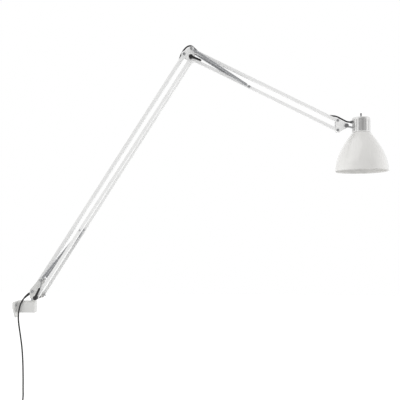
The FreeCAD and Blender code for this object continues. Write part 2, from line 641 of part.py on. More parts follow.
def square_tube(side, back, length, bores, play="2 * pin_play"):
    """Square tube along X, from behind its first pivot to beyond its last, and its bores."""
    run = "%s + %s + bar_overrun" % (back, length)
    outer = block("-" + back, "-%s / 2" % side, "-%s / 2" % side, run, side, side)
    inside = "(%s - 2 * tube_wall)" % side
    tools = [block("-" + back, "-%s / 2" % inside, "-%s / 2" % inside, run, inside, inside)]
    for along, diameter in bores:
        tools.append(rod("Y", along, "-" + side, "0", "%s + %s" % (diameter, play), "2 * " + side))
    return outer, tools


def end_cap(side, at, outward):
    """Plastic cap in a tube's end; its flange covers the tube's wall."""
    inside = "(%s - 2 * tube_wall)" % side
    flange = block(at if outward > 0 else at + " - cap_flange", "-%s / 2" % side, "-%s / 2" % side,
                   "cap_flange", side, side)
    tongue = block(at + " - cap_depth" if outward > 0 else at, "-%s / 2" % inside, "-%s / 2" % inside,
                   "cap_depth", inside, inside)
    return join(flange, tongue)


outer, tools = square_tube("rear_bar", "0", "lower_length", [("0", "screw_pin"), ("lower_length", "screw_pin")])
rounded = rod("Y", "0", "-rear_bar / 2", "0", "rear_bar", "rear_bar")
hollow_end = block("-rear_bar", "-" + BAR_INSIDE, "-rear_bar", "rear_bar", "2 * " + BAR_INSIDE, "2 * rear_bar")
cord_slot = block("lower_length - slot_back", "-slot_width / 2", "0", "slot_run", "slot_width", "rear_bar")
node("lower_rear_tube", cut(join(outer, rounded), *tools, hollow_end, cord_slot), lower_frame)
node("lower_rear_end_cap", end_cap("rear_bar", "(lower_length + bar_overrun)", 1), lower_frame)

# the two front tubes close in towards the elbow; their bores stay square to the arm
FRONT_RUN = "sqrt(lower_length ^ 2 + (front_spread - elbow_spread) ^ 2)"
CATCH_SPREAD = "(front_spread - (front_spread - elbow_spread) * lower_catch / lower_length)"
lower_bores = [("0", "axle + 2 * pin_play"), ("lower_length", "axle + 2 * pin_play"),
               ("lower_catch", "catch_pin")]
front_caps = []
for label, side in (("near", -1), ("far", 1)):
    outer, tools = square_tube("slim_bar", "bar_overrun", FRONT_RUN, [])
    lean = FreeCAD.Placement(V(0, side * size("front_spread"), 0), FreeCAD.Rotation(V(0, 0, 1), -side * LEAN))
    leaning = grouped(cut(outer, *tools))
    leaning.Placement = lean
    bores = [rod("Y", along, "-2 * front_spread", "0", across, "4 * front_spread")
             for along, across in lower_bores]
    node("lower_front_tube_" + label, cut(leaning, *bores), front_frame)
    caps = grouped(end_cap("slim_bar", "(-bar_overrun)", -1),
                   end_cap("slim_bar", "(%s + bar_overrun)" % FRONT_RUN, 1))
    caps.Placement = lean
    front_caps.append(caps)
node("lower_front_end_caps", grouped(*front_caps), front_frame)
PIN_END = "(%s + slim_bar / 2 + pin_stand)" % CATCH_SPREAD
spring_pin = rod("Y", "lower_catch", "-" + PIN_END, "0", "catch_pin", "2 * " + PIN_END)
node("lower_spring_pin", spring_pin, front_frame)


def spring(name, start, end, start_pin, end_pin):
    """Extension spring from a pin to a pin: close-wound body, hook wires and two eyes."""
    reach = end.sub(start)
    length = reach.Length
    coil_start = "hook_length"
    coil_length = "%.6f - 2 * hook_length" % length
    body = cut(rod("X", coil_start, "0", "0", "spring_outer", coil_length),
               rod("X", coil_start, "0", "0", "spring_outer - 2 * spring_wire", coil_length))
    pieces = [body]
    for at, inward, pin in (("0", "", start_pin), ("%.6f" % length, "-", end_pin)):
        bore = pin + " + 2 * eye_play"
        eye = cut(rod("Y", at, "-spring_wire / 2 - pin_play", "0", bore + " + 2 * spring_wire",
                      "spring_wire + 2 * pin_play"),
                  rod("Y", at, "-spring_wire", "0", bore, "2 * spring_wire"))
        near_coil = "%s %s (hook_length + spring_wire)" % (at, inward or "+")
        wire_start = "%s %s (%s / 2 + eye_play + spring_wire / 2)" % (at, inward or "+", pin)
        low, high = (wire_start, near_coil) if not inward else (near_coil, wire_start)
        pieces.append(eye)
        pieces.append(rod("X", low, "0", "0", "spring_wire", "(%s) - (%s)" % (high, low)))
        cross = "%s %s (hook_length + spring_wire / 2 + running_gap)" % (at, inward or "+")
        pieces.append(rod("Z", cross, "0", "-spring_outer / 2 + spring_wire / 2", "spring_wire",
                          "spring_outer - spring_wire"))
    flat = math.hypot(reach.x, reach.z)
    turn = FreeCAD.Rotation(V(0, 1, 0), -math.degrees(math.atan2(reach.z, reach.x)))
    lean = FreeCAD.Rotation(V(0, 0, 1), math.degrees(math.atan2(reach.y, flat)))
    node(name, join(*pieces), FreeCAD.Placement(start, turn.multiply(lean)))


catch_low = front_frame.multVec(V(size("lower_catch"), 0, 0))
catch_high = bottom_frame.multVec(V(size("upper_catch"), 0, 0))
for label, side in (("near", -1), ("far", 1)):
    out, inner = V(0, side * size("spring_out"), 0), V(0, side * size("spring_in"), 0)
    spring("lower_spring_" + label, anchor + out, catch_low + inner, "anchor_pin", "catch_pin")
    spring("upper_spring_" + label, elbow_top + out, catch_high + inner, "screw_pin", "anchor_pin")

# --- elbow ----------------------------------------------------------------------------


def rounded_corners(centres, margin):
    """Corners of the outline that runs at a margin round some centres, listed anticlockwise."""
    corners = []
    for index, centre in enumerate(centres):
        before, after = centres[index - 1], centres[(index + 1) % len(centres)]
        first = V(centre.z - before.z, 0, before.x - centre.x).normalize()
        second = V(after.z - centre.z, 0, centre.x - after.x).normalize()
        corner = centre + (first + second) * (margin / (1 + first.dot(second)))
        corners.append(("%.6f" % corner.x, "%.6f" % corner.z))
    return corners


ELBOW_OUT = "(elbow_inside + elbow_thick)"
elbow_corners = rounded_corners([elbow_low, elbow_top, elbow_rear], size("elbow_round"))


def at_point(point):
    """A point's two coordinates in the arms' plane, as formulas."""
    return "%.6f" % point.x, "%.6f" % point.z


elbow_plates = []
for side in ("-", ""):
    holes = [at_point(elbow_rear) + ("screw_pin",), at_point(elbow_top) + ("screw_pin",),
             at_point(elbow_low) + ("axle",)]
    elbow_plate = plate("XZ", elbow_corners, "elbow_thick", holes,
                        {0: "elbow_round", 1: "elbow_round", 2: "elbow_round"})
    locate(elbow_plate, "0", side + "(elbow_inside + elbow_thick / 2)", "0")
    elbow_plates.append(elbow_plate)
node("elbow_plates", grouped(*elbow_plates))
x, z = at_point(elbow_rear)
node("elbow_rear_screws", pivot_screws(x, z, BAR_INSIDE, ELBOW_OUT))
x, z = at_point(elbow_top)
node("elbow_top_axle", join(rod("Y", x, "-" + STUB_END, z, "screw_pin", "2 * " + STUB_END),
                            rod("Y", x, STUB_END, z, "anchor_head + 1", "anchor_cap"),
                            rod("Y", x, "-%s - anchor_cap" % STUB_END, z, "anchor_head + 1", "anchor_cap")))
x, z = at_point(elbow_low)
ELBOW_HUB_START = "(elbow_spread + slim_bar / 2 + running_gap)"
elbow_front = "(%s + elbow_hub - hub_wall)" % ELBOW_HUB_START
elbow_back = "(%s + nut_height + axle_tip)" % ELBOW_HUB_START
node("elbow_low_axle", rod("Y", x, "-" + elbow_front, z, "axle", "%s + %s" % (elbow_front, elbow_back)))
nut = hexagon(x, ELBOW_HUB_START, z, "nut_side", "nut_height")
node("elbow_axle_nut", cut(nut, rod("Y", x, ELBOW_HUB_START, z, "axle", "nut_height")))
node("elbow_clamp_lever", clamp_lever(ELBOW_HUB_START, "elbow_hub", "elbow_handle"),
     frame(elbow_low, size("elbow_lever_drop")))

# --- upper arm ------------------------------------------------------------------------
upper_bores = [("0", "screw_pin"), ("upper_length", "screw_pin")]
outer, tools = square_tube("slim_bar", "bar_overrun", "upper_length", upper_bores)
tools.append(block("entry_start", "-slot_width / 2", "0", "slot_run", "slot_width", "slim_bar"))
tools.append(block("upper_length - slot_back", "-slot_width / 2", "0", "slot_run", "slot_width", "slim_bar"))
node("upper_top_tube", cut(outer, *tools), top_frame)
outer, tools = square_tube("slim_bar", "bar_overrun", "upper_length", [("upper_length", "screw_pin")])
tools.append(rod("Y", "0", "-slim_bar", "0", "axle + 2 * pin_play", "2 * slim_bar"))
tools.append(rod("Y", "upper_catch", "-slim_bar", "0", "anchor_pin", "2 * slim_bar"))
node("upper_bottom_tube", cut(outer, *tools), bottom_frame)
for name, place in (("upper_top_end_caps", top_frame), ("upper_bottom_end_caps", bottom_frame)):
    first_cap = end_cap("slim_bar", "(-bar_overrun)", -1)
    last_cap = end_cap("slim_bar", "(upper_length + bar_overrun)", 1)
    node(name, grouped(first_cap, last_cap), place)
CATCH_END = "(spring_in + spring_wire / 2 + running_gap)"
node("upper_spring_pin", join(rod("Y", "upper_catch", "-" + CATCH_END, "0", "anchor_pin", "2 * " + CATCH_END),
                              rod("Y", "upper_catch", CATCH_END, "0", "anchor_head", "anchor_cap"),
                              rod("Y", "upper_catch", "-%s - anchor_cap" % CATCH_END, "0", "anchor_head",
                                  "anchor_cap")),
     bottom_frame)

# --- head link: carries the lamp and keeps it level ----------------------------------
LINK_OUT = "(link_inside + link_thick)"
link_corners = rounded_corners([tilt_pivot, head_top, head_low], size("link_round"))
link = plate("XZ", link_corners, "2 * " + LINK_OUT, rounds={0: "nose_round", 1: "link_round", 2: "link_round"})
link_x, link_top = at_point(head_top)
link_low = at_point(head_low)[1]
nose_x, nose_z = at_point(tilt_pivot)
bar_room = block(link_x + " - 2 * link_round", "-link_inside", link_low + " - 2 * link_round",
                 "2 * link_round + tilt_out - nose_round - stem", "2 * link_inside",
                 "4 * link_round + upper_link")
tongue_room = block(nose_x + " - nose_round - nose_room", "-nose_slot / 2", link_low + " - 2 * link_round",
                    "4 * nose_round", "nose_slot", "4 * link_round + upper_link")
node("head_link", cut(link, bar_room, tongue_room,
                      rod("Y", link_x, "-" + LINK_OUT, link_top, "screw_pin", "2 * " + LINK_OUT),
                      rod("Y", link_x, "-" + LINK_OUT, link_low, "screw_pin", "2 * " + LINK_OUT),
                      rod("Y", nose_x, "-" + LINK_OUT, nose_z, "screw_pin + 2 * pin_play", "2 * " + LINK_OUT)))


def head_pin(z):
    """Pin across the head link with a head at each end."""
    return join(rod("Y", link_x, "-" + LINK_OUT, z, "screw_pin", "2 * " + LINK_OUT),
                rod("Y", link_x, LINK_OUT, z, "screw_head - 1", "head_height / 2"),
                rod("Y", link_x, "-%s - head_height / 2" % LINK_OUT, z, "screw_head - 1", "head_height / 2"))


node("head_pins", grouped(head_pin(link_top), head_pin(link_low)))

# friction knob: its bolt clamps the nose on the yoke's tongue
KNOB_START = "(%s + running_gap)" % LINK_OUT
BOLT_END = "(%s + nut_height * 0.8)" % LINK_OUT
knob = join(rod("Y", "0", "-(%s + knob_height)" % KNOB_START, "0", "knob", "knob_height"),
            rod("Y", "0", "-" + KNOB_START, "0", "screw_pin", "%s + %s + axle_tip" % (KNOB_START, BOLT_END)))
grips = []
for index in range(int(size("grips"))):
    angle = 2 * math.pi * index / size("grips")
    across, upward = "knob / 2 * %.6f" % math.cos(angle), "knob / 2 * %.6f" % math.sin(angle)
    grips.append(rod("Y", across, "-(%s + knob_height)" % KNOB_START, upward, "knob / 8", "knob_height"))
node("friction_knob", cut(knob, join(*grips)), frame(tilt_pivot))
knob_nut = hexagon("0", LINK_OUT, "0", "nut_side * 0.8", "nut_height * 0.8")
knob_nut = cut(knob_nut, rod("Y", "0", LINK_OUT, "0", "screw_pin + 2 * pin_play", "nut_height"))
node("friction_nut", knob_nut, frame(tilt_pivot))

# yoke: a flat tongue in the nose, then a round stem that the lamp turns on
STEM_START = "(nose_round + stem / 3)"
STEM_WALL = "((lamp_reach - cap_outer / 2) / cos(stem_drop))"
stem_end = STEM_WALL + " + cap_wall + stem_thread"
eye = rod("Y", "0", "-tongue / 2", "0", "2 * (nose_round - flat)", "tongue")
tongue = block("0", "-tongue / 2", "-stem / 2 + flat", STEM_START + " + flat", "tongue", "stem - 2 * flat")
stem_rod = rod("X", STEM_START, "0", "0", "stem", "%s - %s" % (stem_end, STEM_START))
stem_frame = frame(tilt_pivot, size("stem_drop"))
yoke = cut(join(eye, tongue, stem_rod), rod("Y", "0", "-tongue", "0", "screw_pin + 2 * pin_play", "2 * tongue"))
node("head_yoke", yoke, stem_frame)
nut_start = STEM_WALL + " + cap_wall + stem_seat"
stem_nut = cut(rod("X", nut_start, "0", "0", "2 * nut_side", "stem / 2"),
               rod("X", nut_start, "0", "0", "stem", "stem / 2"))
node("stem_nut", stem_nut, stem_frame)

# --- lamp head ------------------------------------------------------------------------
lamp_axis = tilt_pivot + V(size("lamp_reach"), 0, 0)
lamp_frame = frame(lamp_axis)
CAP_LOW = "(cap_above - cap_height)"
CAP_INSIDE = "(cap_outer / 2 - cap_wall)"
cap = turning([(CAP_INSIDE, CAP_LOW), ("cap_outer / 2", CAP_LOW), ("cap_outer / 2", "cap_above - cap_round"),
               ("cap_outer / 2 - cap_round * 0.3", "cap_above - cap_round * 0.3"),
               ("cap_outer / 2 - cap_round", "cap_above"), ("switch_bush / 2", "cap_above"),
               ("switch_bush / 2", "cap_above - cap_wall"),
               ("%s - cap_round * 0.9" % CAP_INSIDE, "cap_above - cap_wall"),
               (CAP_INSIDE, "cap_above - cap_wall - cap_round * 0.9")])
stem_hole = grouped(rod("X", STEM_START, "0", "0", "stem + 2 * pin_play", "lamp_reach - " + STEM_START))
stem_hole.Placement = frame(V(-size("lamp_reach"), 0, 0), size("stem_drop"))
gland_hole = rod("X", "-cap_outer", "0", "gland_rise", "gland_outer * 0.75", "cap_outer")
node("socket_cap", cut(cap, stem_hole, gland_hole), lamp_frame)

GLAND_OUT = "(cap_outer / 2 + gland_length)"
gland_inner = "gland_length + 2 * cap_wall"
gland = join(rod("X", "-" + GLAND_OUT, "0", "gland_rise", "gland_outer", "gland_length"),
             rod("X", "-" + GLAND_OUT, "0", "gland_rise", "gland_outer * 0.75", gland_inner))
node("cord_gland", cut(gland, rod("X", "-" + GLAND_OUT, "0", "gland_rise", "cord", gland_inner)), lamp_frame)

SWITCH_TOP = "(cap_above - cap_wall)"
switch = join(block("-switch_side / 2", "-switch_side / 2", SWITCH_TOP + " - switch_depth", "switch_side",
                    "switch_side", "switch_depth"),
              rod("Z", "0", "0", SWITCH_TOP, "switch_bush", "cap_wall + switch_nut_height + bush_stand"))
TOGGLE_PIVOT = "(cap_above + switch_nut_height - toggle_depth)"
toggle_room = rod("Z", "0", "0", TOGGLE_PIVOT + " - toggle_well", "toggle_root + 2 * toggle_swing",
                  "toggle_well + toggle_depth + bush_stand + running_gap", "toggle_root + 3.5 * toggle_swing")
node("switch_body", cut(switch, toggle_room), lamp_frame)
switch_nut = cut(rod("Z", "0", "0", "cap_above", "switch_nut", "switch_nut_height"),
                 rod("Z", "0", "0", "cap_above", "switch_bush", "switch_nut_height"))
node("switch_nut", switch_nut, lamp_frame)
lever = join(rod("Z", "0", "0", "-toggle_tail", "toggle_root", "toggle_length + toggle_tail", "toggle_tip"),
             rod("Z", "0", "0", "toggle_length", "toggle_tip", "toggle_end", "toggle_tip * 0.6"),
             rod("Y", "0", "-toggle_root", "0", "toggle_root", "2 * toggle_root"))
toggle_pivot = lamp_axis + V(0, 0, number(TOGGLE_PIVOT))
node("toggle_lever", lever, frame(toggle_pivot))

HOLDER_LOW = "(%s - holder_drop)" % CAP_LOW
HOLDER_TOP = "(%s + holder_depth)" % HOLDER_LOW
HOLDER_FLANGE = "(%s - pin_play)" % CAP_INSIDE
BORE = "(holder_bore / 2 + holder_wall)"
holder = turning([(BORE, HOLDER_LOW), ("holder_outer / 2", HOLDER_LOW), ("holder_outer / 2", CAP_LOW),
                  (HOLDER_FLANGE, CAP_LOW), (HOLDER_FLANGE, CAP_LOW + " + holder_flange"),
                  ("holder_outer / 2", CAP_LOW + " + holder_flange"),
                  ("holder_outer / 2", HOLDER_TOP), ("0", HOLDER_TOP), ("0", HOLDER_TOP + " - holder_floor"),
                  (BORE, HOLDER_TOP + " - holder_floor")])
node("lampholder", holder, lamp_frame)
shell_height = "(holder_depth - holder_floor - contact_height - running_gap - holder_drop / 3)"
shell_low = "(%s + holder_drop / 3)" % HOLDER_LOW
screw_shell = cut(rod("Z", "0", "0", shell_low, "2 * " + BORE, shell_height),
                  rod("Z", "0", "0", shell_low, "holder_bore", shell_height))
contact_low = "%s - holder_floor - contact_height" % HOLDER_TOP
centre_contact = block("-contact / 2", "-contact / 4", contact_low, "contact", "contact / 2", "contact_height")
node("lampholder_contacts", grouped(screw_shell, centre_contact), lamp_frame)
ring_low = "%s - shade_wall - ring_height" % CAP_LOW
node("shade_ring", cut(rod("Z", "0", "0", ring_low, "shade_ring", "ring_height"),
                       rod("Z", "0", "0", ring_low, "holder_outer", "ring_height")), lamp_frame)


BELL_STEPS = 12


def bell_outline(inset, top, low):
    """Points of the bell's side from its neck to its rim: the radius follows a cosine."""
    sweep = math.acos(size("shade_neck") / size("shade_rim"))
    points = []
    for step in range(BELL_STEPS + 1):
        share = 1 - step / BELL_STEPS
        angle = sweep * share
        radius = size("shade_rim") / 2 * math.cos(angle) - inset
        points.append(V(radius, 0, low + (top - low) * share))
    return points


def bell_shade():
    """Spun bell with an even wall, a neck flange with a hole for the lampholder, open below."""
    top = size("cap_above") - size("cap_height")
    low = top - size("shade_height")
    wall = size("shade_wall")
    outer = bell_outline(0, top, low)
    inner = bell_outline(wall, top - wall, low)
    outer_curve, inner_curve = Part.BSplineCurve(), Part.BSplineCurve()
    outer_curve.interpolate(outer)
    inner_curve.interpolate(inner[::-1])
    hole = size("holder_outer") / 2 + size("pin_play")
    corners = [inner[0], V(hole, 0, top - wall), V(hole, 0, top), outer[0]]
    edges = [outer_curve.toShape(), Part.LineSegment(outer[-1], inner[-1]).toShape(), inner_curve.toShape()]
    edges += [Part.LineSegment(first, second).toShape() for first, second in zip(corners, corners[1:])]
    outline = Part.Wire(Part.__sortEdges__(edges))
    return Part.Face(outline).revolve(V(0, 0, 0), V(0, 0, 1), 360)


shade = doc.addObject("Part::Feature", "Shade")
shade.Shape = bell_shade()
node("shade", shade, lamp_frame)

# --- cord -----------------------------------------------------------------------------
# Routes in millimetres, chosen by hand. The cord comes up from the plug, enters the
# swivel head, runs inside the rear tube, loops over the elbow, runs inside the upper
# top tube and loops over the head joint to the lampholder.
BASE_BEND = [(44.83, 0, 49.49), (56.7, 0, 57.2), (71.8, 0, 80.8)]
ELBOW_LOOP = [(508.3, 0, 760.7), (519.1, 0, 777.6), (525.8, 0, 794.6), (531.8, 0, 814.5), (540.6, 0, 828.6),
              (550.2, 0, 838.2), (560.4, 0, 841.8), (568.6, 0, 838.4), (575.6, 0, 830.9), (584.8, 0, 821.8),
              (599.3, 0, 810.6), (615.2, 0, 802.2)]
HEAD_LOOP = [(971.0, 0, 619.3), (987.1, 0, 611.1), (1003.2, 0, 607.7), (1018.6, 0, 604.1), (1030.8, 0, 597.9),
             (1041.7, 0, 593.1), (1050.0, 0, 590.2), (1057.2, 0, 589.12), (1071.8, 0, 589.1), (1079.6, 0, 587.8),
             (1083.6, 0, 583.2)]
HANGING = [(44.5, 0, 49.28), (38.0, 0, 45.06), (32.0, -2.1, 39.3), (27.5, -6.6, 32.9), (25.0, -13.4, 26.0),
           (22.6, -17.6, 17.3), (19.9, -19.4, 4.5), (18.0, -20.0, -10.0), (17.4, -20.0, -25.0),
           (18.9, -19.5, -43.3), (22.8, -19.0, -68.3),
           (27.2, -18.5, -96.5), (30.7, -18.0, -124.7), (33.4, -17.6, -165.0), (34.6, -17.2, -211.0),
           (34.2, -16.8, -256.0), (34.0, -16.5, -299.6)]
TAIL = [(34.0, -16.5, -377.3), (34.8, -16.7, -396.0), (34.2, -17.1, -415.0), (34.4, -17.0, -432.0)]


def cord_tube(route):
    """Round cord along straight runs joined by tangent arcs; prints its tightest radius."""
    points = [V(*point) for point in route]
    edges, radii, start = [], [], points[0]
    for index in range(1, len(points) - 1):
        before, here, after = points[index - 1:index + 2]
        arriving, leaving = here.sub(before), after.sub(here)
        shorter = min(arriving.Length, leaving.Length)
        arriving.normalize()
        leaving.normalize()
        half_turn = arriving.getAngle(leaving) / 2
        tangent = 0.45 * shorter
        radii.append(tangent / math.tan(half_turn))
        first, last = here - arriving * tangent, here + leaving * tangent
        inward = (leaving - arriving).normalize()
        middle = here + inward * (radii[-1] / math.cos(half_turn) - radii[-1])
        edges.append(Part.LineSegment(start, first).toShape())
        edges.append(Part.Arc(first, middle, last).toShape())
        start = last
    edges.append(Part.LineSegment(start, points[-1]).toShape())
    path = Part.Wire(edges)
    first_run = points[1].sub(points[0])
    ring = Part.Wire([Part.Circle(points[0], first_run, size("cord") / 2).toShape()])
    tube = path.makePipeShell([ring], True, True, 2)
    section = math.pi * size("cord") ** 2 / 4
    share = tube.Volume / (section * path.Length)
    assert tube.isValid() and abs(share - 1) < 0.02, share
    print("cord %.1f mm, radii %s" % (path.Length, ", ".join("%.0f" % radius for radius in radii)))
    return tube


def soft(name, *shapes):
    """A cord's own piece, or several in one node."""
    feature = doc.addObject("Part::Feature", "Cord")
    feature.Shape = shapes[0] if len(shapes) == 1 else Part.makeCompound(list(shapes))
    node(name, feature)


soft("cord_base_bend", cord_tube(BASE_BEND))
soft("cord_elbow_loop", cord_tube(ELBOW_LOOP))
soft("cord_head_loop", cord_tube(HEAD_LOOP))
soft("hanging_cord", cord_tube(HANGING), cord_tube(TAIL))
lower_run = rod("X", "run_start", "0", "0", "cord", "lower_length - run_start - run_stop")
node("cord_lower_run", lower_run, lower_frame)
node("cord_upper_run", rod("X", "upper_run", "0", "0", "cord", "upper_length - 2 * upper_run"), top_frame)

# the length that isn't seen, tied in a coil in the plane of the arms
coil = doc.addObject("Part::Torus", "Coil")
bind(coil, "Radius1", "coil_ring / 2")
bind(coil, "Radius2", "coil_bundle / 2")
coil_centre = (V(*HANGING[-1]) + V(*TAIL[0])) * 0.5
coil_frame = FreeCAD.Placement(coil_centre, FreeCAD.Rotation(V(1, 0, 0), 90))
node("cord_coil", coil, coil_frame)
TIE_INSIDE = "(coil_bundle / 2 + pin_play)"
tie_outer = rod("Y", "coil_ring / 2", "-tie_width / 2", "0", "2 * (%s + tie_thick)" % TIE_INSIDE, "tie_width")
tie_bore = doc.addObject("Part::Torus", "Coil")
bind(tie_bore, "Radius1", "coil_ring / 2")
bind(tie_bore, "Radius2", TIE_INSIDE)
node("cord_tie", cut(tie_outer, tie_bore), coil_frame)

plug_frame = FreeCAD.Placement(V(*TAIL[-1]), FreeCAD.Rotation(V(1, 0, 0), 180))
body_top = "sleeve_length"
plug = join(rod("Z", "0", "0", "0", "plug_neck * 0.8", "sleeve_length", "plug_neck * 1.3"),
            rod("Z", "0", "0", body_top, "plug_body * 0.7", "plug_length * 0.3", "plug_body"),
            rod("Z", "0", "0", body_top + " + plug_length * 0.3", "plug_body", "plug_length * 0.7"))
pins = []
for side in ("-", ""):
    x, pin_low = side + "pin_pitch / 2", body_top + " + plug_length"
    pins.append(join(rod("Z", x, "0", pin_low, "plug_pin", "pin_length - pin_end"),
                     rod("Z", x, "0", pin_low + " + pin_length - pin_end", "plug_pin", "pin_end",
                         "plug_pin * 0.6")))
node("plug", grouped(plug, *pins), plug_frame)

# --- check every piece and write it ---------------------------------------------------
doc.recompute()
for thing in doc.Objects:
    if "Invalid" in thing.State or "Error" in thing.State:
        raise RuntimeError("%s is %s" % (thing.Name, thing.State))
for name, piece in nodes.items():
    if piece.Shape.isNull() or not piece.Shape.isValid() or not piece.Shape.Solids:
        raise RuntimeError("%s has no valid solid" % name)
os.makedirs("parts", exist_ok=True)
for name, piece in nodes.items():
    piece.Shape.exportStep("parts/%s.step" % name)
print(len(nodes), "nodes,", sum(len(piece.Shape.Solids) for piece in nodes.values()), "solids")
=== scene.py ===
import bpy
import bmesh
import json
import math
from mathutils import Matrix, Vector

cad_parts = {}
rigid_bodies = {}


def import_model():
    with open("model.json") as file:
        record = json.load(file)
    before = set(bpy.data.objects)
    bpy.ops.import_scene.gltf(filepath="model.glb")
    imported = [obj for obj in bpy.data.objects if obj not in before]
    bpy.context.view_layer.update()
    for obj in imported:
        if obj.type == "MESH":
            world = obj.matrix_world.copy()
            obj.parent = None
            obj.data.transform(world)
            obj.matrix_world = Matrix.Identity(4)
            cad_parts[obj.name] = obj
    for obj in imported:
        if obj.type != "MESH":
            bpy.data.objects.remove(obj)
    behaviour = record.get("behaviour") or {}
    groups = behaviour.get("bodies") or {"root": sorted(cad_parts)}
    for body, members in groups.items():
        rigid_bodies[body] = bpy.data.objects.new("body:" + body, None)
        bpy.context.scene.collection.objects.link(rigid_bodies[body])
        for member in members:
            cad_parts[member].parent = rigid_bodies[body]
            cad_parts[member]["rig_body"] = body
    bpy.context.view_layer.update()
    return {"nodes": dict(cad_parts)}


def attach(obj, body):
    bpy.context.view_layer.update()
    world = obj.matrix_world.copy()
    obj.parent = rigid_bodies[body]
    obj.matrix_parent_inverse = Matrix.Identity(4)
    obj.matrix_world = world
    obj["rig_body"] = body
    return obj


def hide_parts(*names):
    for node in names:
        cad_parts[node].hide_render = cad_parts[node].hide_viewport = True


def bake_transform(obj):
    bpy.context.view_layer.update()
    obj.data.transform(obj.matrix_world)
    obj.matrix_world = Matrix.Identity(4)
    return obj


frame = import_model()
nodes = frame["nodes"]

# --- Wall plate ------------------------------------------------------------------------
# A tapered shield, die-cast in zinc and thinner towards its foot, powder-coated light
# grey. Two screws hold it to the wall, and two from behind hold the bracket.


def linear(code):
    """An sRGB hex colour as the linear values that a shader takes."""
    parts = [int(code[i:i + 2], 16) / 255 for i in (0, 2, 4)]
    return [p / 12.92 if p <= 0.04045 else ((p + 0.055) / 1.055) ** 2.4 for p in parts] + [1]


def add(material, kind, settings, links=None):
    """Put a node into a material, with its settings and with the sockets that feed it."""
    made = material.node_tree.nodes.new("ShaderNode" + kind)
    for name, value in settings.items():
        if isinstance(name, str) and hasattr(made, name):
            setattr(made, name, value)
        else:
            made.inputs[name].default_value = value
    for name, socket in (links or {}).items():
        material.node_tree.links.new(socket, made.inputs[name])
    return made


def start_material(name, settings):
    """A named material; its shader's own values are set, and its place is the object's own."""
    material = bpy.data.materials.new(name)
    material.use_nodes = True
    shader = material.node_tree.nodes["Principled BSDF"]
    for socket, value in settings.items():
        shader.inputs[socket].default_value = value
    place = add(material, "TexCoord", {}).outputs["Object"]
    return material, shader, place


def connect(material, source, shader, socket):
    """Feed one of the shader's sockets."""
    material.node_tree.links.new(source, shader.inputs[socket])


# Polyester powder coat over a die casting: satin, with a fine orange peel of about 1 mm
# and a faint cloudiness where the coat is thicker.
casting_paint, shader, place = start_material("powder_coated_casting", {"Roughness": 0.42, "IOR": 1.5})
clouds = add(casting_paint, "TexNoise", {"Scale": 45.0, "Detail": 3.0}, {"Vector": place})
tone = add(casting_paint, "Mix", {"data_type": "RGBA", 6: linear("cdcdcb"), 7: linear("d6d6d4")},
           {0: clouds.outputs["Fac"]})
peel = add(casting_paint, "TexNoise", {"Scale": 950.0, "Detail": 2.0}, {"Vector": place})
sheen = add(casting_paint, "MapRange", {"To Min": 0.36, "To Max": 0.48}, {"Value": peel.outputs["Fac"]})
relief = add(casting_paint, "Bump", {"Strength": 0.12, "Distance": 0.00008}, {"Height": peel.outputs["Fac"]})
connect(casting_paint, tone.outputs[2], shader, "Base Color")
connect(casting_paint, sheen.outputs["Result"], shader, "Roughness")
connect(casting_paint, relief.outputs["Normal"], shader, "Normal")


def softened(name, width, material, shortest=0.0, segments=2):
    """A copy of a node with its sharp edges rounded, in that node's place."""
    source = nodes[name]
    shape = bmesh.new()
    shape.from_mesh(source.data)
    bmesh.ops.remove_doubles(shape, verts=shape.verts, dist=3e-6)
    bmesh.ops.dissolve_limit(shape, angle_limit=math.radians(0.4), verts=shape.verts, edges=shape.edges)
    weight = shape.edges.layers.float.new("bevel_weight_edge")
    for edge in shape.edges:
        sharp = len(edge.link_faces) == 2 and edge.calc_face_angle(0) > math.radians(33)
        edge.smooth = not sharp
        edge[weight] = 1.0 if sharp and edge.calc_length() > shortest else 0.0
    for face in shape.faces:
        face.smooth = True
        face.material_index = 0
    mesh = bpy.data.meshes.new(name + "_finished")
    shape.to_mesh(mesh)
    shape.free()
    if "custom_normal" in mesh.attributes:
        mesh.attributes.remove(mesh.attributes["custom_normal"])
    mesh.materials.append(material)
    piece = bpy.data.objects.new(name + "_finished", mesh)
    bpy.context.scene.collection.objects.link(piece)
    rounding = piece.modifiers.new("Rounding", "BEVEL")
    rounding.limit_method = "WEIGHT"
    rounding.width = width
    rounding.segments = segments
    rounding.use_clamp_overlap = False
    rounding.harden_normals = True
    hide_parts(name)
    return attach(piece, source["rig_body"])


softened("wall_plate", 0.0006, casting_paint)

# --- Plate screws ----------------------------------------------------------------------
# Four steel screws, zinc-plated: two slotted domes that hold the plate to the wall, and
# two countersunk ones from behind that hold the bracket.


def dress(material, *names):
    """Give nodes that keep their shape a better material."""
    for name in names:
        for held in nodes[name].material_slots:
            held.material = material


# Zinc over turned steel: dull grey, with rings from the lathe about 0.3 mm apart.
plated_steel, shader, place = start_material("zinc_plated_steel", {"Metallic": 1.0})
stain = add(plated_steel, "TexNoise", {"Scale": 260.0, "Detail": 4.0}, {"Vector": place})
tone = add(plated_steel, "Mix", {"data_type": "RGBA", 6: linear("a4a5a7"), 7: linear("c2c3c4")},
           {0: stain.outputs["Fac"]})
turned = add(plated_steel, "TexNoise", {"Scale": 3300.0, "Detail": 1.0}, {"Vector": place})
dull = add(plated_steel, "MapRange", {"To Min": 0.3, "To Max": 0.5}, {"Value": stain.outputs["Fac"]})
relief = add(plated_steel, "Bump", {"Strength": 0.15, "Distance": 0.00005}, {"Height": turned.outputs["Fac"]})
connect(plated_steel, tone.outputs[2], shader, "Base Color")
connect(plated_steel, dull.outputs["Result"], shader, "Roughness")
connect(plated_steel, relief.outputs["Normal"], shader, "Normal")
dress(plated_steel, "plate_screws")

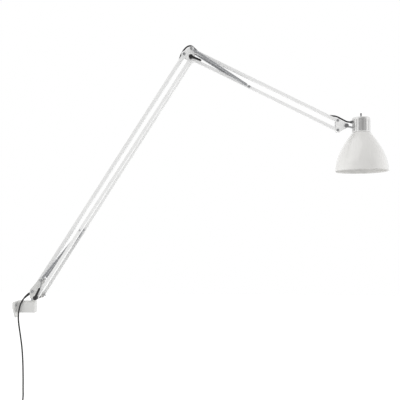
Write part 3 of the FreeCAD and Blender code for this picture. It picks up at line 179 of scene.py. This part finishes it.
# --- Bracket ---------------------------------------------------------------------------
# A die-cast arm on the plate's sloping face: a narrow neck and a box, coated as the
# plate is. Two flanged acetal bushes in the box carry the swivel.
softened("bracket_arm", 0.0006, casting_paint)

# Acetal, moulded: milky white, waxy, with a fine texture from the mould.
acetal, shader, place = start_material("white_acetal", {"Roughness": 0.4, "IOR": 1.48,
                                                        "Subsurface Weight": 0.08, "Subsurface Scale": 0.001})
haze = add(acetal, "TexNoise", {"Scale": 120.0, "Detail": 2.0}, {"Vector": place})
tone = add(acetal, "Mix", {"data_type": "RGBA", 6: linear("dddcd8"), 7: linear("e6e5e2")},
           {0: haze.outputs["Fac"]})
grain = add(acetal, "TexNoise", {"Scale": 2500.0, "Detail": 1.0}, {"Vector": place})
relief = add(acetal, "Bump", {"Strength": 0.12, "Distance": 0.00004}, {"Height": grain.outputs["Fac"]})
connect(acetal, tone.outputs[2], shader, "Base Color")
connect(acetal, relief.outputs["Normal"], shader, "Normal")
softened("swivel_bushes", 0.0003, acetal)

# --- Swivel head -----------------------------------------------------------------------
# A forked casting that turns on the bracket: two cheeks, a rear web and a floor, riveted
# to a steel spigot that a ring keeps under the bracket. Shoulder screws carry the arm.
softened("swivel_head", 0.0005, casting_paint)
dress(plated_steel, "swivel_spigot", "swivel_retaining_ring", "rear_pivot_screws")

# --- Strain relief ---------------------------------------------------------------------
# A black rubber sleeve in the head's rear web, tapered where the cord leaves it.
# Soft rubber, moulded: black, rather dull, with a grain of about 0.4 mm.
black_rubber, shader, place = start_material("black_soft_rubber", {"Roughness": 0.55, "IOR": 1.52})
bloom = add(black_rubber, "TexNoise", {"Scale": 90.0, "Detail": 3.0}, {"Vector": place})
tone = add(black_rubber, "Mix", {"data_type": "RGBA", 6: linear("161617"), 7: linear("232324")},
           {0: bloom.outputs["Fac"]})
grain = add(black_rubber, "TexNoise", {"Scale": 2400.0, "Detail": 2.0}, {"Vector": place})
relief = add(black_rubber, "Bump", {"Strength": 0.2, "Distance": 0.00006}, {"Height": grain.outputs["Fac"]})
connect(black_rubber, tone.outputs[2], shader, "Base Color")
connect(black_rubber, relief.outputs["Normal"], shader, "Normal")
softened("strain_relief", 0.0003, black_rubber)

# --- Base axle -------------------------------------------------------------------------
# A steel axle through the head and both front tubes, with nylon spacers, a nut at the
# back and two steel tie rods that hold the spring anchors against the springs' pull.
dress(plated_steel, "base_axle", "base_axle_nut", "spring_anchors")
softened("tie_rods", 0.0002, plated_steel)

# Nylon, moulded: black with a slight gloss and a spark texture of about 0.5 mm.
black_nylon, shader, place = start_material("black_nylon", {"Roughness": 0.36, "IOR": 1.53})
flow = add(black_nylon, "TexNoise", {"Scale": 60.0, "Detail": 2.0}, {"Vector": place})
tone = add(black_nylon, "Mix", {"data_type": "RGBA", 6: linear("121213"), 7: linear("1d1d1e")},
           {0: flow.outputs["Fac"]})
spark = add(black_nylon, "TexNoise", {"Scale": 2000.0, "Detail": 3.0}, {"Vector": place})
gloss = add(black_nylon, "MapRange", {"To Min": 0.3, "To Max": 0.44}, {"Value": spark.outputs["Fac"]})
relief = add(black_nylon, "Bump", {"Strength": 0.2, "Distance": 0.00006}, {"Height": spark.outputs["Fac"]})
connect(black_nylon, tone.outputs[2], shader, "Base Color")
connect(black_nylon, gloss.outputs["Result"], shader, "Roughness")
connect(black_nylon, relief.outputs["Normal"], shader, "Normal")
softened("axle_spacers", 0.0004, black_nylon)

# --- Base clamp lever ------------------------------------------------------------------
# A nylon lever moulded over a brass insert that screws on the axle's near end; its
# handle is slimmer towards a rounded tip.
softened("base_clamp_lever", 0.0009, black_nylon, segments=3)

# --- Lower arm -------------------------------------------------------------------------
# Three welded square steel tubes, powder-coated white: one at the rear that the cord
# runs in, and two in front that close in towards the elbow. Plastic caps end them.

# Gloss polyester coat on drawn tube: white, orange peel of about 2 mm, a trace of dust.
tube_paint, shader, place = start_material("white_powder_coat", {"IOR": 1.5})
dust = add(tube_paint, "TexNoise", {"Scale": 25.0, "Detail": 4.0}, {"Vector": place})
tone = add(tube_paint, "Mix", {"data_type": "RGBA", 6: linear("e2e2e2"), 7: linear("ebebea")},
           {0: dust.outputs["Fac"]})
peel = add(tube_paint, "TexNoise", {"Scale": 480.0, "Detail": 0.0}, {"Vector": place})
gloss = add(tube_paint, "MapRange", {"To Min": 0.22, "To Max": 0.34}, {"Value": dust.outputs["Fac"]})
relief = add(tube_paint, "Bump", {"Strength": 0.05, "Distance": 0.00005}, {"Height": peel.outputs["Fac"]})
connect(tube_paint, tone.outputs[2], shader, "Base Color")
connect(tube_paint, gloss.outputs["Result"], shader, "Roughness")
connect(tube_paint, relief.outputs["Normal"], shader, "Normal")
for tube in ("lower_rear_tube", "lower_front_tube_near", "lower_front_tube_far"):
    softened(tube, 0.0014, tube_paint, shortest=0.06, segments=4)
softened("lower_rear_end_cap", 0.0006, acetal)
softened("lower_front_end_caps", 0.0006, acetal)
dress(plated_steel, "lower_spring_pin")

# --- Lower springs ---------------------------------------------------------------------
# Two extension springs of oil-tempered wire beside the arm, wound close. Each hook turns
# out of the last coil and rings its pin.

# Spring wire keeps a thin oxide skin from its heat treatment: mid grey, cloudy and dull.
spring_wire, shader, place = start_material("oil_tempered_spring_wire", {"Metallic": 1.0})
oxide = add(spring_wire, "TexNoise", {"Scale": 180.0, "Detail": 4.0}, {"Vector": place})
tone = add(spring_wire, "Mix", {"data_type": "RGBA", 6: linear("a2a3a5"), 7: linear("bbbcbe")},
           {0: oxide.outputs["Fac"]})
dull = add(spring_wire, "MapRange", {"To Min": 0.32, "To Max": 0.5}, {"Value": oxide.outputs["Fac"]})
connect(spring_wire, tone.outputs[2], shader, "Base Color")
connect(spring_wire, dull.outputs["Result"], shader, "Roughness")


X, Y, Z = Vector((1, 0, 0)), Vector((0, 1, 0)), Vector((0, 0, 1))


def wound_spring(name, start, end, pin):
    """A close-wound spring with a ring at each end, in its node's place."""
    # Radius of the wire and of the coil to the wire's middle, a hook's length, steps in a turn.
    wire, across, hook, steps = 0.0007, 0.00355, 0.0095, 12
    reach = Vector(end) - Vector(start)
    turns = int((reach.length - 2 * hook) / (2 * wire))
    pitch = (reach.length - 2 * hook) / turns
    shape = bmesh.new()
    upright = Matrix.Rotation(math.pi / 2, 4, "X")
    first = bmesh.ops.create_circle(shape, segments=8, radius=wire,
                                    matrix=Matrix.Translation((across, 0, hook)) @ upright)
    bmesh.ops.spin(shape, geom=first["verts"] + shape.edges[:], axis=Z, cent=(0, 0, 0), dvec=Z * pitch / steps,
                   angle=2 * math.pi, steps=steps)
    turn = shape.verts[:] + shape.edges[:] + shape.faces[:]
    for count in range(1, turns):
        copied = bmesh.ops.duplicate(shape, geom=turn)["geom"]
        moved = [g for g in copied if isinstance(g, bmesh.types.BMVert)]
        bmesh.ops.translate(shape, verts=moved, vec=Z * pitch * count)
    bmesh.ops.remove_doubles(shape, verts=shape.verts, dist=1e-6)
    ring = pin / 2 + 0.0003 + wire
    for at, way in ((0.0, 1), (reach.length, -1)):
        neck = Vector((0, 0, at + way * ring))
        eye = bmesh.ops.create_circle(shape, segments=8, radius=wire, matrix=Matrix.Translation(neck) @ upright)
        eye_edges = list({e for v in eye["verts"] for e in v.link_edges})
        bmesh.ops.rotate(shape, verts=eye["verts"], cent=neck, matrix=Matrix.Rotation(math.pi / 2, 3, "Z"))
        bmesh.ops.spin(shape, geom=eye["verts"] + eye_edges, axis=Y, cent=(0, 0, at), angle=2 * math.pi,
                       steps=20, use_merge=True)
        stalk = bmesh.ops.create_circle(shape, segments=8, radius=wire, matrix=Matrix.Translation(neck))
        stalk_edges = list({e for v in stalk["verts"] for e in v.link_edges})
        grown = bmesh.ops.extrude_edge_only(shape, edges=stalk_edges)["geom"]
        tip = [g for g in grown if isinstance(g, bmesh.types.BMVert)]
        bmesh.ops.translate(shape, verts=tip, vec=Z * way * (hook - across - ring))
        tip_edges = [g for g in grown if isinstance(g, bmesh.types.BMEdge) and all(v in tip for v in g.verts)]
        bmesh.ops.spin(shape, geom=tip + tip_edges, axis=Y * way, cent=(across, 0, at + way * (hook - across)),
                       angle=math.pi / 2, steps=6)
    bmesh.ops.recalc_face_normals(shape, faces=shape.faces)
    along = reach.normalized()
    side = (Y - along * along.y).normalized()
    turned = Matrix((side.cross(along), side, along)).transposed().to_4x4()
    bmesh.ops.transform(shape, verts=shape.verts, matrix=Matrix.Translation(start) @ turned)
    for face in shape.faces:
        face.smooth = True
    mesh = bpy.data.meshes.new(name + "_finished")
    shape.to_mesh(mesh)
    shape.free()
    mesh.materials.append(spring_wire)
    piece = bpy.data.objects.new(name + "_finished", mesh)
    bpy.context.scene.collection.objects.link(piece)
    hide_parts(name)
    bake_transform(piece)


for label, side in (("near", -1), ("far", 1)):
    wound_spring("lower_spring_" + label, start=(0.087, side * 0.017, 0.0935),
                 end=(0.21532, side * 0.010, 0.25245), pin=0.0045)

# --- Elbow -----------------------------------------------------------------------------
# Two coated plates with the pivots of both arms: shoulder screws at the rear, a headed
# axle above that also holds the upper springs, and a clamping axle with its nut below.
softened("elbow_plates", 0.0005, tube_paint)
dress(plated_steel, "elbow_rear_screws", "elbow_top_axle", "elbow_low_axle", "elbow_axle_nut")
softened("elbow_clamp_lever", 0.0009, black_nylon, segments=3)

# --- Upper arm -------------------------------------------------------------------------
# Two more coated square tubes, one over the other. The cord runs in the top one, and a
# headed pin through the bottom one takes the springs.
for tube in ("upper_top_tube", "upper_bottom_tube"):
    softened(tube, 0.0013, tube_paint, shortest=0.06, segments=4)
softened("upper_top_end_caps", 0.0005, acetal)
softened("upper_bottom_end_caps", 0.0005, acetal)
dress(plated_steel, "upper_spring_pin")
for label, side in (("near", -1), ("far", 1)):
    wound_spring("upper_spring_" + label, start=(0.565398, side * 0.017, 0.82775),
                 end=(0.74773, side * 0.010, 0.70404), pin=0.0045)

# --- Head link -------------------------------------------------------------------------
# A coated casting on the ends of both upper tubes, which keeps the lamp level. A knob of
# moulded nylon on a steel bolt clamps its nose on the yoke's tongue.
softened("head_link", 0.0005, tube_paint)
dress(plated_steel, "head_pins", "friction_nut", "stem_nut")

# Glass-filled nylon, moulded: dark grey, half matt, with pale flecks of glass.
grey_nylon, shader, place = start_material("grey_filled_nylon", {"Roughness": 0.45, "IOR": 1.53})
flecks = add(grey_nylon, "TexNoise", {"Scale": 900.0, "Detail": 3.0}, {"Vector": place})
tone = add(grey_nylon, "Mix", {"data_type": "RGBA", 6: linear("565657"), 7: linear("78787a")},
           {0: flecks.outputs["Fac"]})
connect(grey_nylon, tone.outputs[2], shader, "Base Color")
softened("friction_knob", 0.0002, grey_nylon)
softened("head_yoke", 0.0003, plated_steel)

# --- Socket cap ------------------------------------------------------------------------
# Deep-drawn steel, nickel-plated and brushed, with upright flutes pressed all round its
# side. The toggle's nut holds it to the switch, and the stem carries it.

# Brushed nickel: strokes run round the cap, so light draws out up and down it.
nickel, shader, place = start_material("brushed_nickel", {"Metallic": 1.0})
centre = add(nickel, "Mapping", {"Location": (-1.093479, 0, 0), "Scale": (1, 1, 1)}, {"Vector": place})
strokes = add(nickel, "Mapping", {"Scale": (60, 60, 2600)}, {"Vector": centre.outputs["Vector"]})
brushed = add(nickel, "TexNoise", {"Scale": 1.0, "Detail": 3.0}, {"Vector": strokes.outputs["Vector"]})
tone = add(nickel, "Mix", {"data_type": "RGBA", 6: linear("c6c5c4"), 7: linear("dddddc")},
           {0: brushed.outputs["Fac"]})
dull = add(nickel, "MapRange", {"To Min": 0.32, "To Max": 0.48}, {"Value": brushed.outputs["Fac"]})
relief = add(nickel, "Bump", {"Strength": 0.1, "Distance": 0.00004}, {"Height": brushed.outputs["Fac"]})
connect(nickel, tone.outputs[2], shader, "Base Color")
connect(nickel, dull.outputs["Result"], shader, "Roughness")
connect(nickel, relief.outputs["Normal"], shader, "Normal")

lamp_axis = Vector((1.093479, 0, 0))
cap_top, cap_low, cap_radius, flutes = 0.602116, 0.555616, 0.02725, 18


def spun(outline, steps, centre):
    """A bmesh turned round an upright axis from an outline of (radius, height) points."""
    shape = bmesh.new()
    points = [shape.verts.new((centre.x + radius, centre.y, height)) for radius, height in outline]
    edges = [shape.edges.new(pair) for pair in zip(points, points[1:])]
    bmesh.ops.spin(shape, geom=points + edges, axis=Z, cent=centre, angle=2 * math.pi, steps=steps,
                   use_merge=True)
    bmesh.ops.recalc_face_normals(shape, faces=shape.faces)
    return shape


def placed(shape, name, material, slot, body, *replaced):
    """A finished mesh as a piece that rides on a body and stands for its nodes."""
    for face in shape.faces:
        face.smooth = True
    mesh = bpy.data.meshes.new(name)
    shape.to_mesh(mesh)
    shape.free()
    mesh.materials.append(material)
    piece = bpy.data.objects.new(name, mesh)
    bpy.context.scene.collection.objects.link(piece)
    if replaced:
        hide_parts(*replaced)
    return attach(piece, body)


cap_side = [(cap_radius, cap_low), (cap_radius, cap_low + 0.004), (cap_radius, cap_top - 0.007)]
cap_shoulder = [(cap_radius, cap_top - 0.004), (cap_radius - 0.00035, cap_top - 0.0024),
                (cap_radius - 0.0013, cap_top - 0.0011), (cap_radius - 0.0026, cap_top - 0.0003),
                (cap_radius - 0.004, cap_top), (0.005, cap_top)]
cap = spun(cap_side + cap_shoulder, flutes * 4, lamp_axis)
grooves = []
for face in cap.faces:
    middle = face.calc_center_median() - lamp_axis
    column = int(math.floor(math.degrees(math.atan2(middle.y, middle.x)) / (90 / flutes)))
    if column % 4 == 1 and cap_low + 0.005 < middle.z < cap_top - 0.008:
        grooves.append(face)
bmesh.ops.inset_individual(cap, faces=grooves, thickness=0.0002, depth=0.0)
bmesh.ops.inset_individual(cap, faces=grooves, thickness=0.0006, depth=-0.0013)
for edge in cap.edges:
    edge.smooth = len(edge.link_faces) < 2 or edge.calc_face_angle(0) < math.radians(30)
socket_cap = placed(cap, "socket_cap_finished", nickel, "satin_metal", "lamp_head", "socket_cap")
wall = socket_cap.modifiers.new("Wall", "SOLIDIFY")
wall.thickness = 0.0012
wall.offset = -1

# --- Toggle switch ---------------------------------------------------------------------
# A bushing switch under the cap's top: black body, ring nut and a polished bat lever.
softened("switch_body", 0.0003, black_nylon)
softened("switch_nut", 0.0004, nickel)

# Chromed brass lever with faint wear. Its near-black base colour is a painted dark reflection, so the clear
# chrome reads dark.
chrome, shader, place = start_material("polished_chrome", {"Metallic": 1.0, "Roughness": 0.16})
worn = add(chrome, "TexNoise", {"Scale": 300.0, "Detail": 3.0}, {"Vector": place})
tone = add(chrome, "Mix", {"data_type": "RGBA", 6: linear("232427"), 7: linear("38393c")},
           {0: worn.outputs["Fac"]})
connect(chrome, tone.outputs[2], shader, "Base Color")
softened("toggle_lever", 0.0003, chrome)

# --- Cable gland -----------------------------------------------------------------------
# A moulded bush in the side of the cap that keeps the cord off the sheet metal's edge.
softened("cord_gland", 0.0005, grey_nylon)

# --- Lampholder ------------------------------------------------------------------------
# Black thermoplastic with a brass screw shell and a centre contact; a ring below the
# shade's neck screws on it and clamps the shade against the flange.
softened("lampholder", 0.0005, black_nylon)
brass, shader, place = start_material("rolled_brass", {"Metallic": 1.0})
tarnish = add(brass, "TexNoise", {"Scale": 160.0, "Detail": 4.0}, {"Vector": place})
tone = add(brass, "Mix", {"data_type": "RGBA", 6: linear("a98848"), 7: linear("c9ab66")},
           {0: tarnish.outputs["Fac"]})
dull = add(brass, "MapRange", {"To Min": 0.22, "To Max": 0.45}, {"Value": tarnish.outputs["Fac"]})
connect(brass, tone.outputs[2], shader, "Base Color")
connect(brass, dull.outputs["Result"], shader, "Roughness")
dress(brass, "lampholder_contacts")
dress(nickel, "shade_ring")

# --- Shade -----------------------------------------------------------------------------
# A bell spun from aluminium sheet with a bead rolled in at its rim, stove-enamelled gloss
# white inside and out. Its neck is clamped on the lampholder.

# Enamel: clear gloss over white with slow waves, some 30 mm long, left by the spinning.
enamel, shader, place = start_material("stoved_white_enamel", {"IOR": 1.52, "Coat Weight": 1.0,
                                                               "Coat Roughness": 0.08})
film = add(enamel, "TexNoise", {"Scale": 18.0, "Detail": 2.0}, {"Vector": place})
tone = add(enamel, "Mix", {"data_type": "RGBA", 6: linear("d2d1ce"), 7: linear("d9d8d6")},
           {0: film.outputs["Fac"]})
gloss = add(enamel, "MapRange", {"To Min": 0.14, "To Max": 0.22}, {"Value": film.outputs["Fac"]})
relief = add(enamel, "Bump", {"Strength": 0.06, "Distance": 0.0006}, {"Height": film.outputs["Fac"]})
connect(enamel, tone.outputs[2], shader, "Base Color")
connect(enamel, gloss.outputs["Result"], shader, "Roughness")
connect(enamel, relief.outputs["Normal"], shader, "Normal")

rim_radius, neck_radius, shade_low, rings = 0.080, 0.0275, 0.434616, 40
sweep = math.acos(neck_radius / rim_radius)
side = [(rim_radius * math.cos(sweep * step / rings), shade_low + (cap_low - shade_low) * step / rings)
        for step in range(rings, -1, -1)]
bead = [(0.0795 - 0.0009 * math.sin(turn), shade_low + 0.0011 - 0.0009 * math.cos(turn))
        for turn in (0.0, 0.8, 1.6, 2.4)]
shade = spun([(0.02005, cap_low)] + side[:-1] + bead, 128, lamp_axis)
shade = placed(shade, "shade_finished", enamel, "shade_enamel", "lamp_head", "shade")
wall = shade.modifiers.new("Sheet", "SOLIDIFY")
wall.thickness = 0.0016
wall.offset = -1

# --- Cord inside the lamp --------------------------------------------------------------
# One round two-core cord: from the strain relief through the swivel head, along the rear
# tube, over the elbow, along the upper top tube and over the head joint into the cap.

# PVC sheath, extruded: black, half matt, with a grain of about 0.6 mm.
sheath, shader, place = start_material("black_pvc_sheath", {"Roughness": 0.42, "IOR": 1.54})
scuffs = add(sheath, "TexNoise", {"Scale": 70.0, "Detail": 4.0}, {"Vector": place})
tone = add(sheath, "Mix", {"data_type": "RGBA", 6: linear("131314"), 7: linear("202021")},
           {0: scuffs.outputs["Fac"]})
grain = add(sheath, "TexNoise", {"Scale": 1700.0, "Detail": 1.0}, {"Vector": place})
relief = add(sheath, "Bump", {"Strength": 0.15, "Distance": 0.00005}, {"Height": grain.outputs["Fac"]})
connect(sheath, tone.outputs[2], shader, "Base Color")
connect(sheath, relief.outputs["Normal"], shader, "Normal")
dress(sheath, "cord_lower_run", "cord_upper_run")


def cord_line(route, thickness, taper=1.0):
    """The smooth line through a route's control points, as a mesh: a tube, or with no thickness its points."""
    curve = bpy.data.curves.new("cord_line", "CURVE")
    curve.dimensions = "3D"
    spline = curve.splines.new("NURBS")
    spline.points.add(len(route) - 1)
    for step, (point, place) in enumerate(zip(spline.points, route)):
        point.co = (*place, 1)
        point.radius = 1 + (taper - 1) * step / (len(route) - 1)
    spline.order_u = 3
    spline.use_endpoint_u = True
    spline.resolution_u = 10
    curve.bevel_depth = thickness / 2
    curve.bevel_resolution = 4
    curve.use_fill_caps = thickness > 0
    line = bpy.data.objects.new("cord_line", curve)
    bpy.context.scene.collection.objects.link(line)
    bpy.context.view_layer.update()
    mesh = bpy.data.meshes.new_from_object(line)
    bpy.data.objects.remove(line)
    return mesh


def cord_span(name, whole, low, high, bodies, start, end, *replaced):
    """The part of a cord between two upright planes across X; the two bodies it is given are not used."""
    shape = bmesh.new()
    shape.from_mesh(whole)
    for at, way in ((low, -1), (high, 1)):
        if at is not None:
            everything = shape.verts[:] + shape.edges[:] + shape.faces[:]
            cut = bmesh.ops.bisect_plane(shape, geom=everything, plane_co=(at, 0, 0), plane_no=X * way,
                                         clear_outer=True)["geom_cut"]
            bmesh.ops.holes_fill(shape, edges=[g for g in cut if isinstance(g, bmesh.types.BMEdge)])
    for face in shape.faces:
        face.smooth = True
    mesh = bpy.data.meshes.new(name)
    shape.to_mesh(mesh)
    shape.free()
    mesh.materials.append(sheath)
    piece = bpy.data.objects.new(name, mesh)
    bpy.context.scene.collection.objects.link(piece)
    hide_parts(*replaced)
    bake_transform(piece)


base_bend = cord_line([(0.04483, 0, 0.04949), (0.0567, 0, 0.0572), (0.0718, 0, 0.0808)], 0.005)
cord_span("base_bend", base_bend, None, None, ("swivel_head", "lower_rear_arm"), (0.04483, 0, 0.04949),
          (0.0718, 0, 0.0808), "cord_base_bend")

elbow_split, link_split, yoke_split = 0.556, 1.0186, 1.0505
elbow_loop = cord_line([(0.5083, 0, 0.7607), (0.5191, 0, 0.7776), (0.5258, 0, 0.7946), (0.5318, 0, 0.8145),
                        (0.5406, 0, 0.8286), (0.5502, 0, 0.8382), (0.5604, 0, 0.8418), (0.5686, 0, 0.8384),
                        (0.5756, 0, 0.8309), (0.5848, 0, 0.8218), (0.5993, 0, 0.8106),
                        (0.6152, 0, 0.8022)], 0.005)
cord_span("elbow_loop_rise", elbow_loop, None, elbow_split, ("lower_rear_arm", "elbow"), (0.5191, 0, 0.7776),
          (0.556, 0, 0.8405), "cord_elbow_loop")
cord_span("elbow_loop_fall", elbow_loop, elbow_split, None, ("elbow", "upper_top_bar"), (0.556, 0, 0.8405),
          (0.5848, 0, 0.8218), "cord_elbow_loop")

head_loop = cord_line([(0.9710, 0, 0.6193), (0.9871, 0, 0.6111), (1.0032, 0, 0.6098), (1.0186, 0, 0.6076),
                       (1.0308, 0, 0.6008), (1.0417, 0, 0.5946), (1.0500, 0, 0.5902), (1.0572, 0, 0.58912),
                       (1.0718, 0, 0.5891), (1.0796, 0, 0.5878), (1.0836, 0, 0.5832)], 0.005)
cord_span("head_loop_bar", head_loop, None, link_split, ("upper_top_bar", "head_link"), (0.9871, 0, 0.6111),
          (1.0186, 0, 0.6070), "cord_head_loop")
cord_span("head_loop_joint", head_loop, link_split, yoke_split, ("head_link", "head_yoke"), (1.0290, 0, 0.5988),
          (1.0500, 0, 0.5902), "cord_head_loop")
cord_span("head_loop_cap", head_loop, yoke_split, None, ("head_yoke", "lamp_head"), (1.0510, 0, 0.5900),
          (1.0605, 0, 0.58912), "cord_head_loop")

# --- Supply cord -----------------------------------------------------------------------
# The same cord hangs from the strain relief beside the plate. What the photograph doesn't
# show of its two metres is wound in eight turns, tied, and ends in a round plug.
hanging = [(0.0445, 0, 0.04928), (0.0380, 0, 0.04506), (0.0320, -0.0021, 0.0393), (0.0275, -0.0066, 0.0329),
           (0.0250, -0.0134, 0.0260), (0.0226, -0.0176, 0.0173), (0.0199, -0.0194, 0.0045),
           (0.0180, -0.0200, -0.0100), (0.0174, -0.0200, -0.0250), (0.0189, -0.0195, -0.0433),
           (0.0228, -0.0190, -0.0683), (0.0272, -0.0185, -0.0965), (0.0307, -0.0180, -0.1247),
           (0.0334, -0.0176, -0.1650), (0.0346, -0.0172, -0.2110), (0.0344, -0.0160, -0.2460),
           (0.0330, -0.0110, -0.2720), (0.0290, -0.0066, -0.2930), (0.0215, -0.0064, -0.3130)]
tail = [(0.0235, -0.0217, -0.3755), (0.0305, -0.0200, -0.3860), (0.0340, -0.0175, -0.4000),
        (0.0344, -0.0171, -0.4160), (0.0344, -0.0170, -0.4320)]
coil_centre, turn_radius, beside = Vector((0.0340, -0.0165, -0.33845)), 0.029, 0.0051
layers = [(-1, 1), (-1, 0), (-1, -1), (0, -1), (0, 0), (0, 1), (1, 1), (1, 0), (1, -1), (1, -1)]
first_angle, last_angle, points_a_turn = math.radians(160), math.radians(238), 16
coil_points = []
steps = round(points_a_turn * (8 + (last_angle - first_angle) / (2 * math.pi)))
for step in range(steps + 1):
    turn, within = divmod(step, points_a_turn)
    shift = max(0.0, (within - (points_a_turn - 5)) / 5)
    outward = layers[turn][0] * (1 - shift) + layers[turn + 1][0] * shift
    sideways = layers[turn][1] * (1 - shift) + layers[turn + 1][1] * shift
    angle = first_angle + 2 * math.pi * step / points_a_turn
    radius = turn_radius + outward * beside
    coil_points.append(coil_centre + Vector((math.cos(angle) * radius, sideways * beside,
                                             math.sin(angle) * radius)))
route = hanging + [tuple(point) for point in coil_points] + tail
supply = bpy.data.objects.new("supply_cord", cord_line(route, 0.005))
bpy.context.scene.collection.objects.link(supply)
supply.data.materials.clear()
supply.data.materials.append(sheath)
line = cord_line(route, 0)
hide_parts("hanging_cord", "cord_coil")

# The rubber sleeve runs on over the cord and tapers to it in 21 mm, so it bends gently.
sleeve_end = tuple((before + after) / 2 for before, after in zip(hanging[2], hanging[3]))
sleeve = bpy.data.objects.new("strain_relief_sleeve", cord_line(hanging[:3] + [sleeve_end], 0.0086, 0.66))
bpy.context.scene.collection.objects.link(sleeve)
sleeve.data.materials.clear()
sleeve.data.materials.append(black_rubber)
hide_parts("strain_relief")
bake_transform(sleeve)

# --- Tie and plug ----------------------------------------------------------------------
# A soft band round the turns. The plug is moulded on the cord in one piece with its
# sleeve, and has two round nickelled pins.
tie = softened("cord_tie", 0.0003, black_rubber)
plug = softened("plug", 0.0008, black_nylon)
plug.data.materials.append(nickel)
plug_face = -0.48605
for face in plug.data.polygons:
    if face.center.z < plug_face:
        face.material_index = 1
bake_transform(supply)

# --- Floor, light and camera -----------------------------------------------------------
# A pale floor under the plug, a white surround that is darker in front and brighter at
# both sides, and one wide lamp up on the left.
floor_height = -0.512
floor_shape = bmesh.new()
bmesh.ops.create_grid(floor_shape, x_segments=1, y_segments=1, size=4.0,
                      matrix=Matrix.Translation((0.6, 0, floor_height)))
floor_mesh = bpy.data.meshes.new("floor")
floor_shape.to_mesh(floor_mesh)
floor_shape.free()

# Matt paper, lit through from below: an even white ground.
floor_paper, shader, place = start_material("white_studio_paper", {
    "Roughness": 0.9, "Base Color": linear("e6e6e6"), "Emission Color": (1, 1, 1, 1), "Emission Strength": 0.4})
floor_mesh.materials.append(floor_paper)
floor = bpy.data.objects.new("floor", floor_mesh)
bpy.context.scene.collection.objects.link(floor)

world = bpy.data.worlds.new("surround")
bpy.context.scene.world = world
world.use_nodes = True
background = world.node_tree.nodes["Background"]
towards = add(world, "TexCoord", {})
split = add(world, "SeparateXYZ", {}, {"Vector": towards.outputs["Generated"]})
rays = add(world, "LightPath", {})
soft = add(world, "MapRange", {"interpolation_type": "SMOOTHSTEP", "From Min": -1.0, "From Max": -0.2,
                               "To Min": 0.6, "To Max": 1.0}, {"Value": split.outputs["Y"]})
mirrored = add(world, "MapRange", {"interpolation_type": "SMOOTHSTEP", "From Min": -1.0, "From Max": -0.3,
                                   "To Min": 0.4, "To Max": 1.0}, {"Value": split.outputs["Y"]})
front = add(world, "Mix", {"data_type": "FLOAT"},
            {0: rays.outputs["Is Glossy Ray"], 2: soft.outputs["Result"],
                                                   3: mirrored.outputs["Result"]})
beside = add(world, "Math", {"operation": "ABSOLUTE"}, {0: split.outputs["X"]})
strips = add(world, "MapRange", {"interpolation_type": "SMOOTHSTEP", "From Min": 0.65, "From Max": 1.0,
                                 "To Max": 0.5}, {"Value": beside.outputs["Value"]})
around = add(world, "Math", {"operation": "ADD"}, {0: front.outputs[0], 1: strips.outputs["Result"]})
seen = add(world, "Math", {"operation": "MAXIMUM"},
           {0: rays.outputs["Is Camera Ray"], 1: rays.outputs["Is Transmission Ray"]})
level = add(world, "Mix", {"data_type": "FLOAT", 3: 1.0},
            {0: seen.outputs["Value"], 2: around.outputs["Value"]})
world.node_tree.links.new(level.outputs[0], background.inputs["Strength"])
background.inputs["Color"].default_value = (1, 1, 1, 1)

lamp_data = bpy.data.lights.new("overhead", "AREA")
lamp_data.energy = 9
lamp_data.size = 2.2
lamp = bpy.data.objects.new("overhead", lamp_data)
lamp.location = (-0.3, -0.9, 2.4)
lamp.rotation_euler = (Vector((0.6, 0, 0.3)) - lamp.location).to_track_quat("-Z", "Y").to_euler()
bpy.context.scene.collection.objects.link(lamp)

camera_data = bpy.data.cameras.new("camera")
camera = bpy.data.objects.new("camera", camera_data)
bpy.context.scene.collection.objects.link(camera)
camera.location = (0.7072, -1.6447, 0.2818)
camera.rotation_euler = (Vector((0.5922, 0.0, 0.3480)) - camera.location).to_track_quat("-Z", "Y").to_euler()
camera_data.lens = 47.1
camera_data.sensor_width = 36.0
bpy.context.scene.camera = camera
bpy.context.scene.view_settings.view_transform = "Standard"
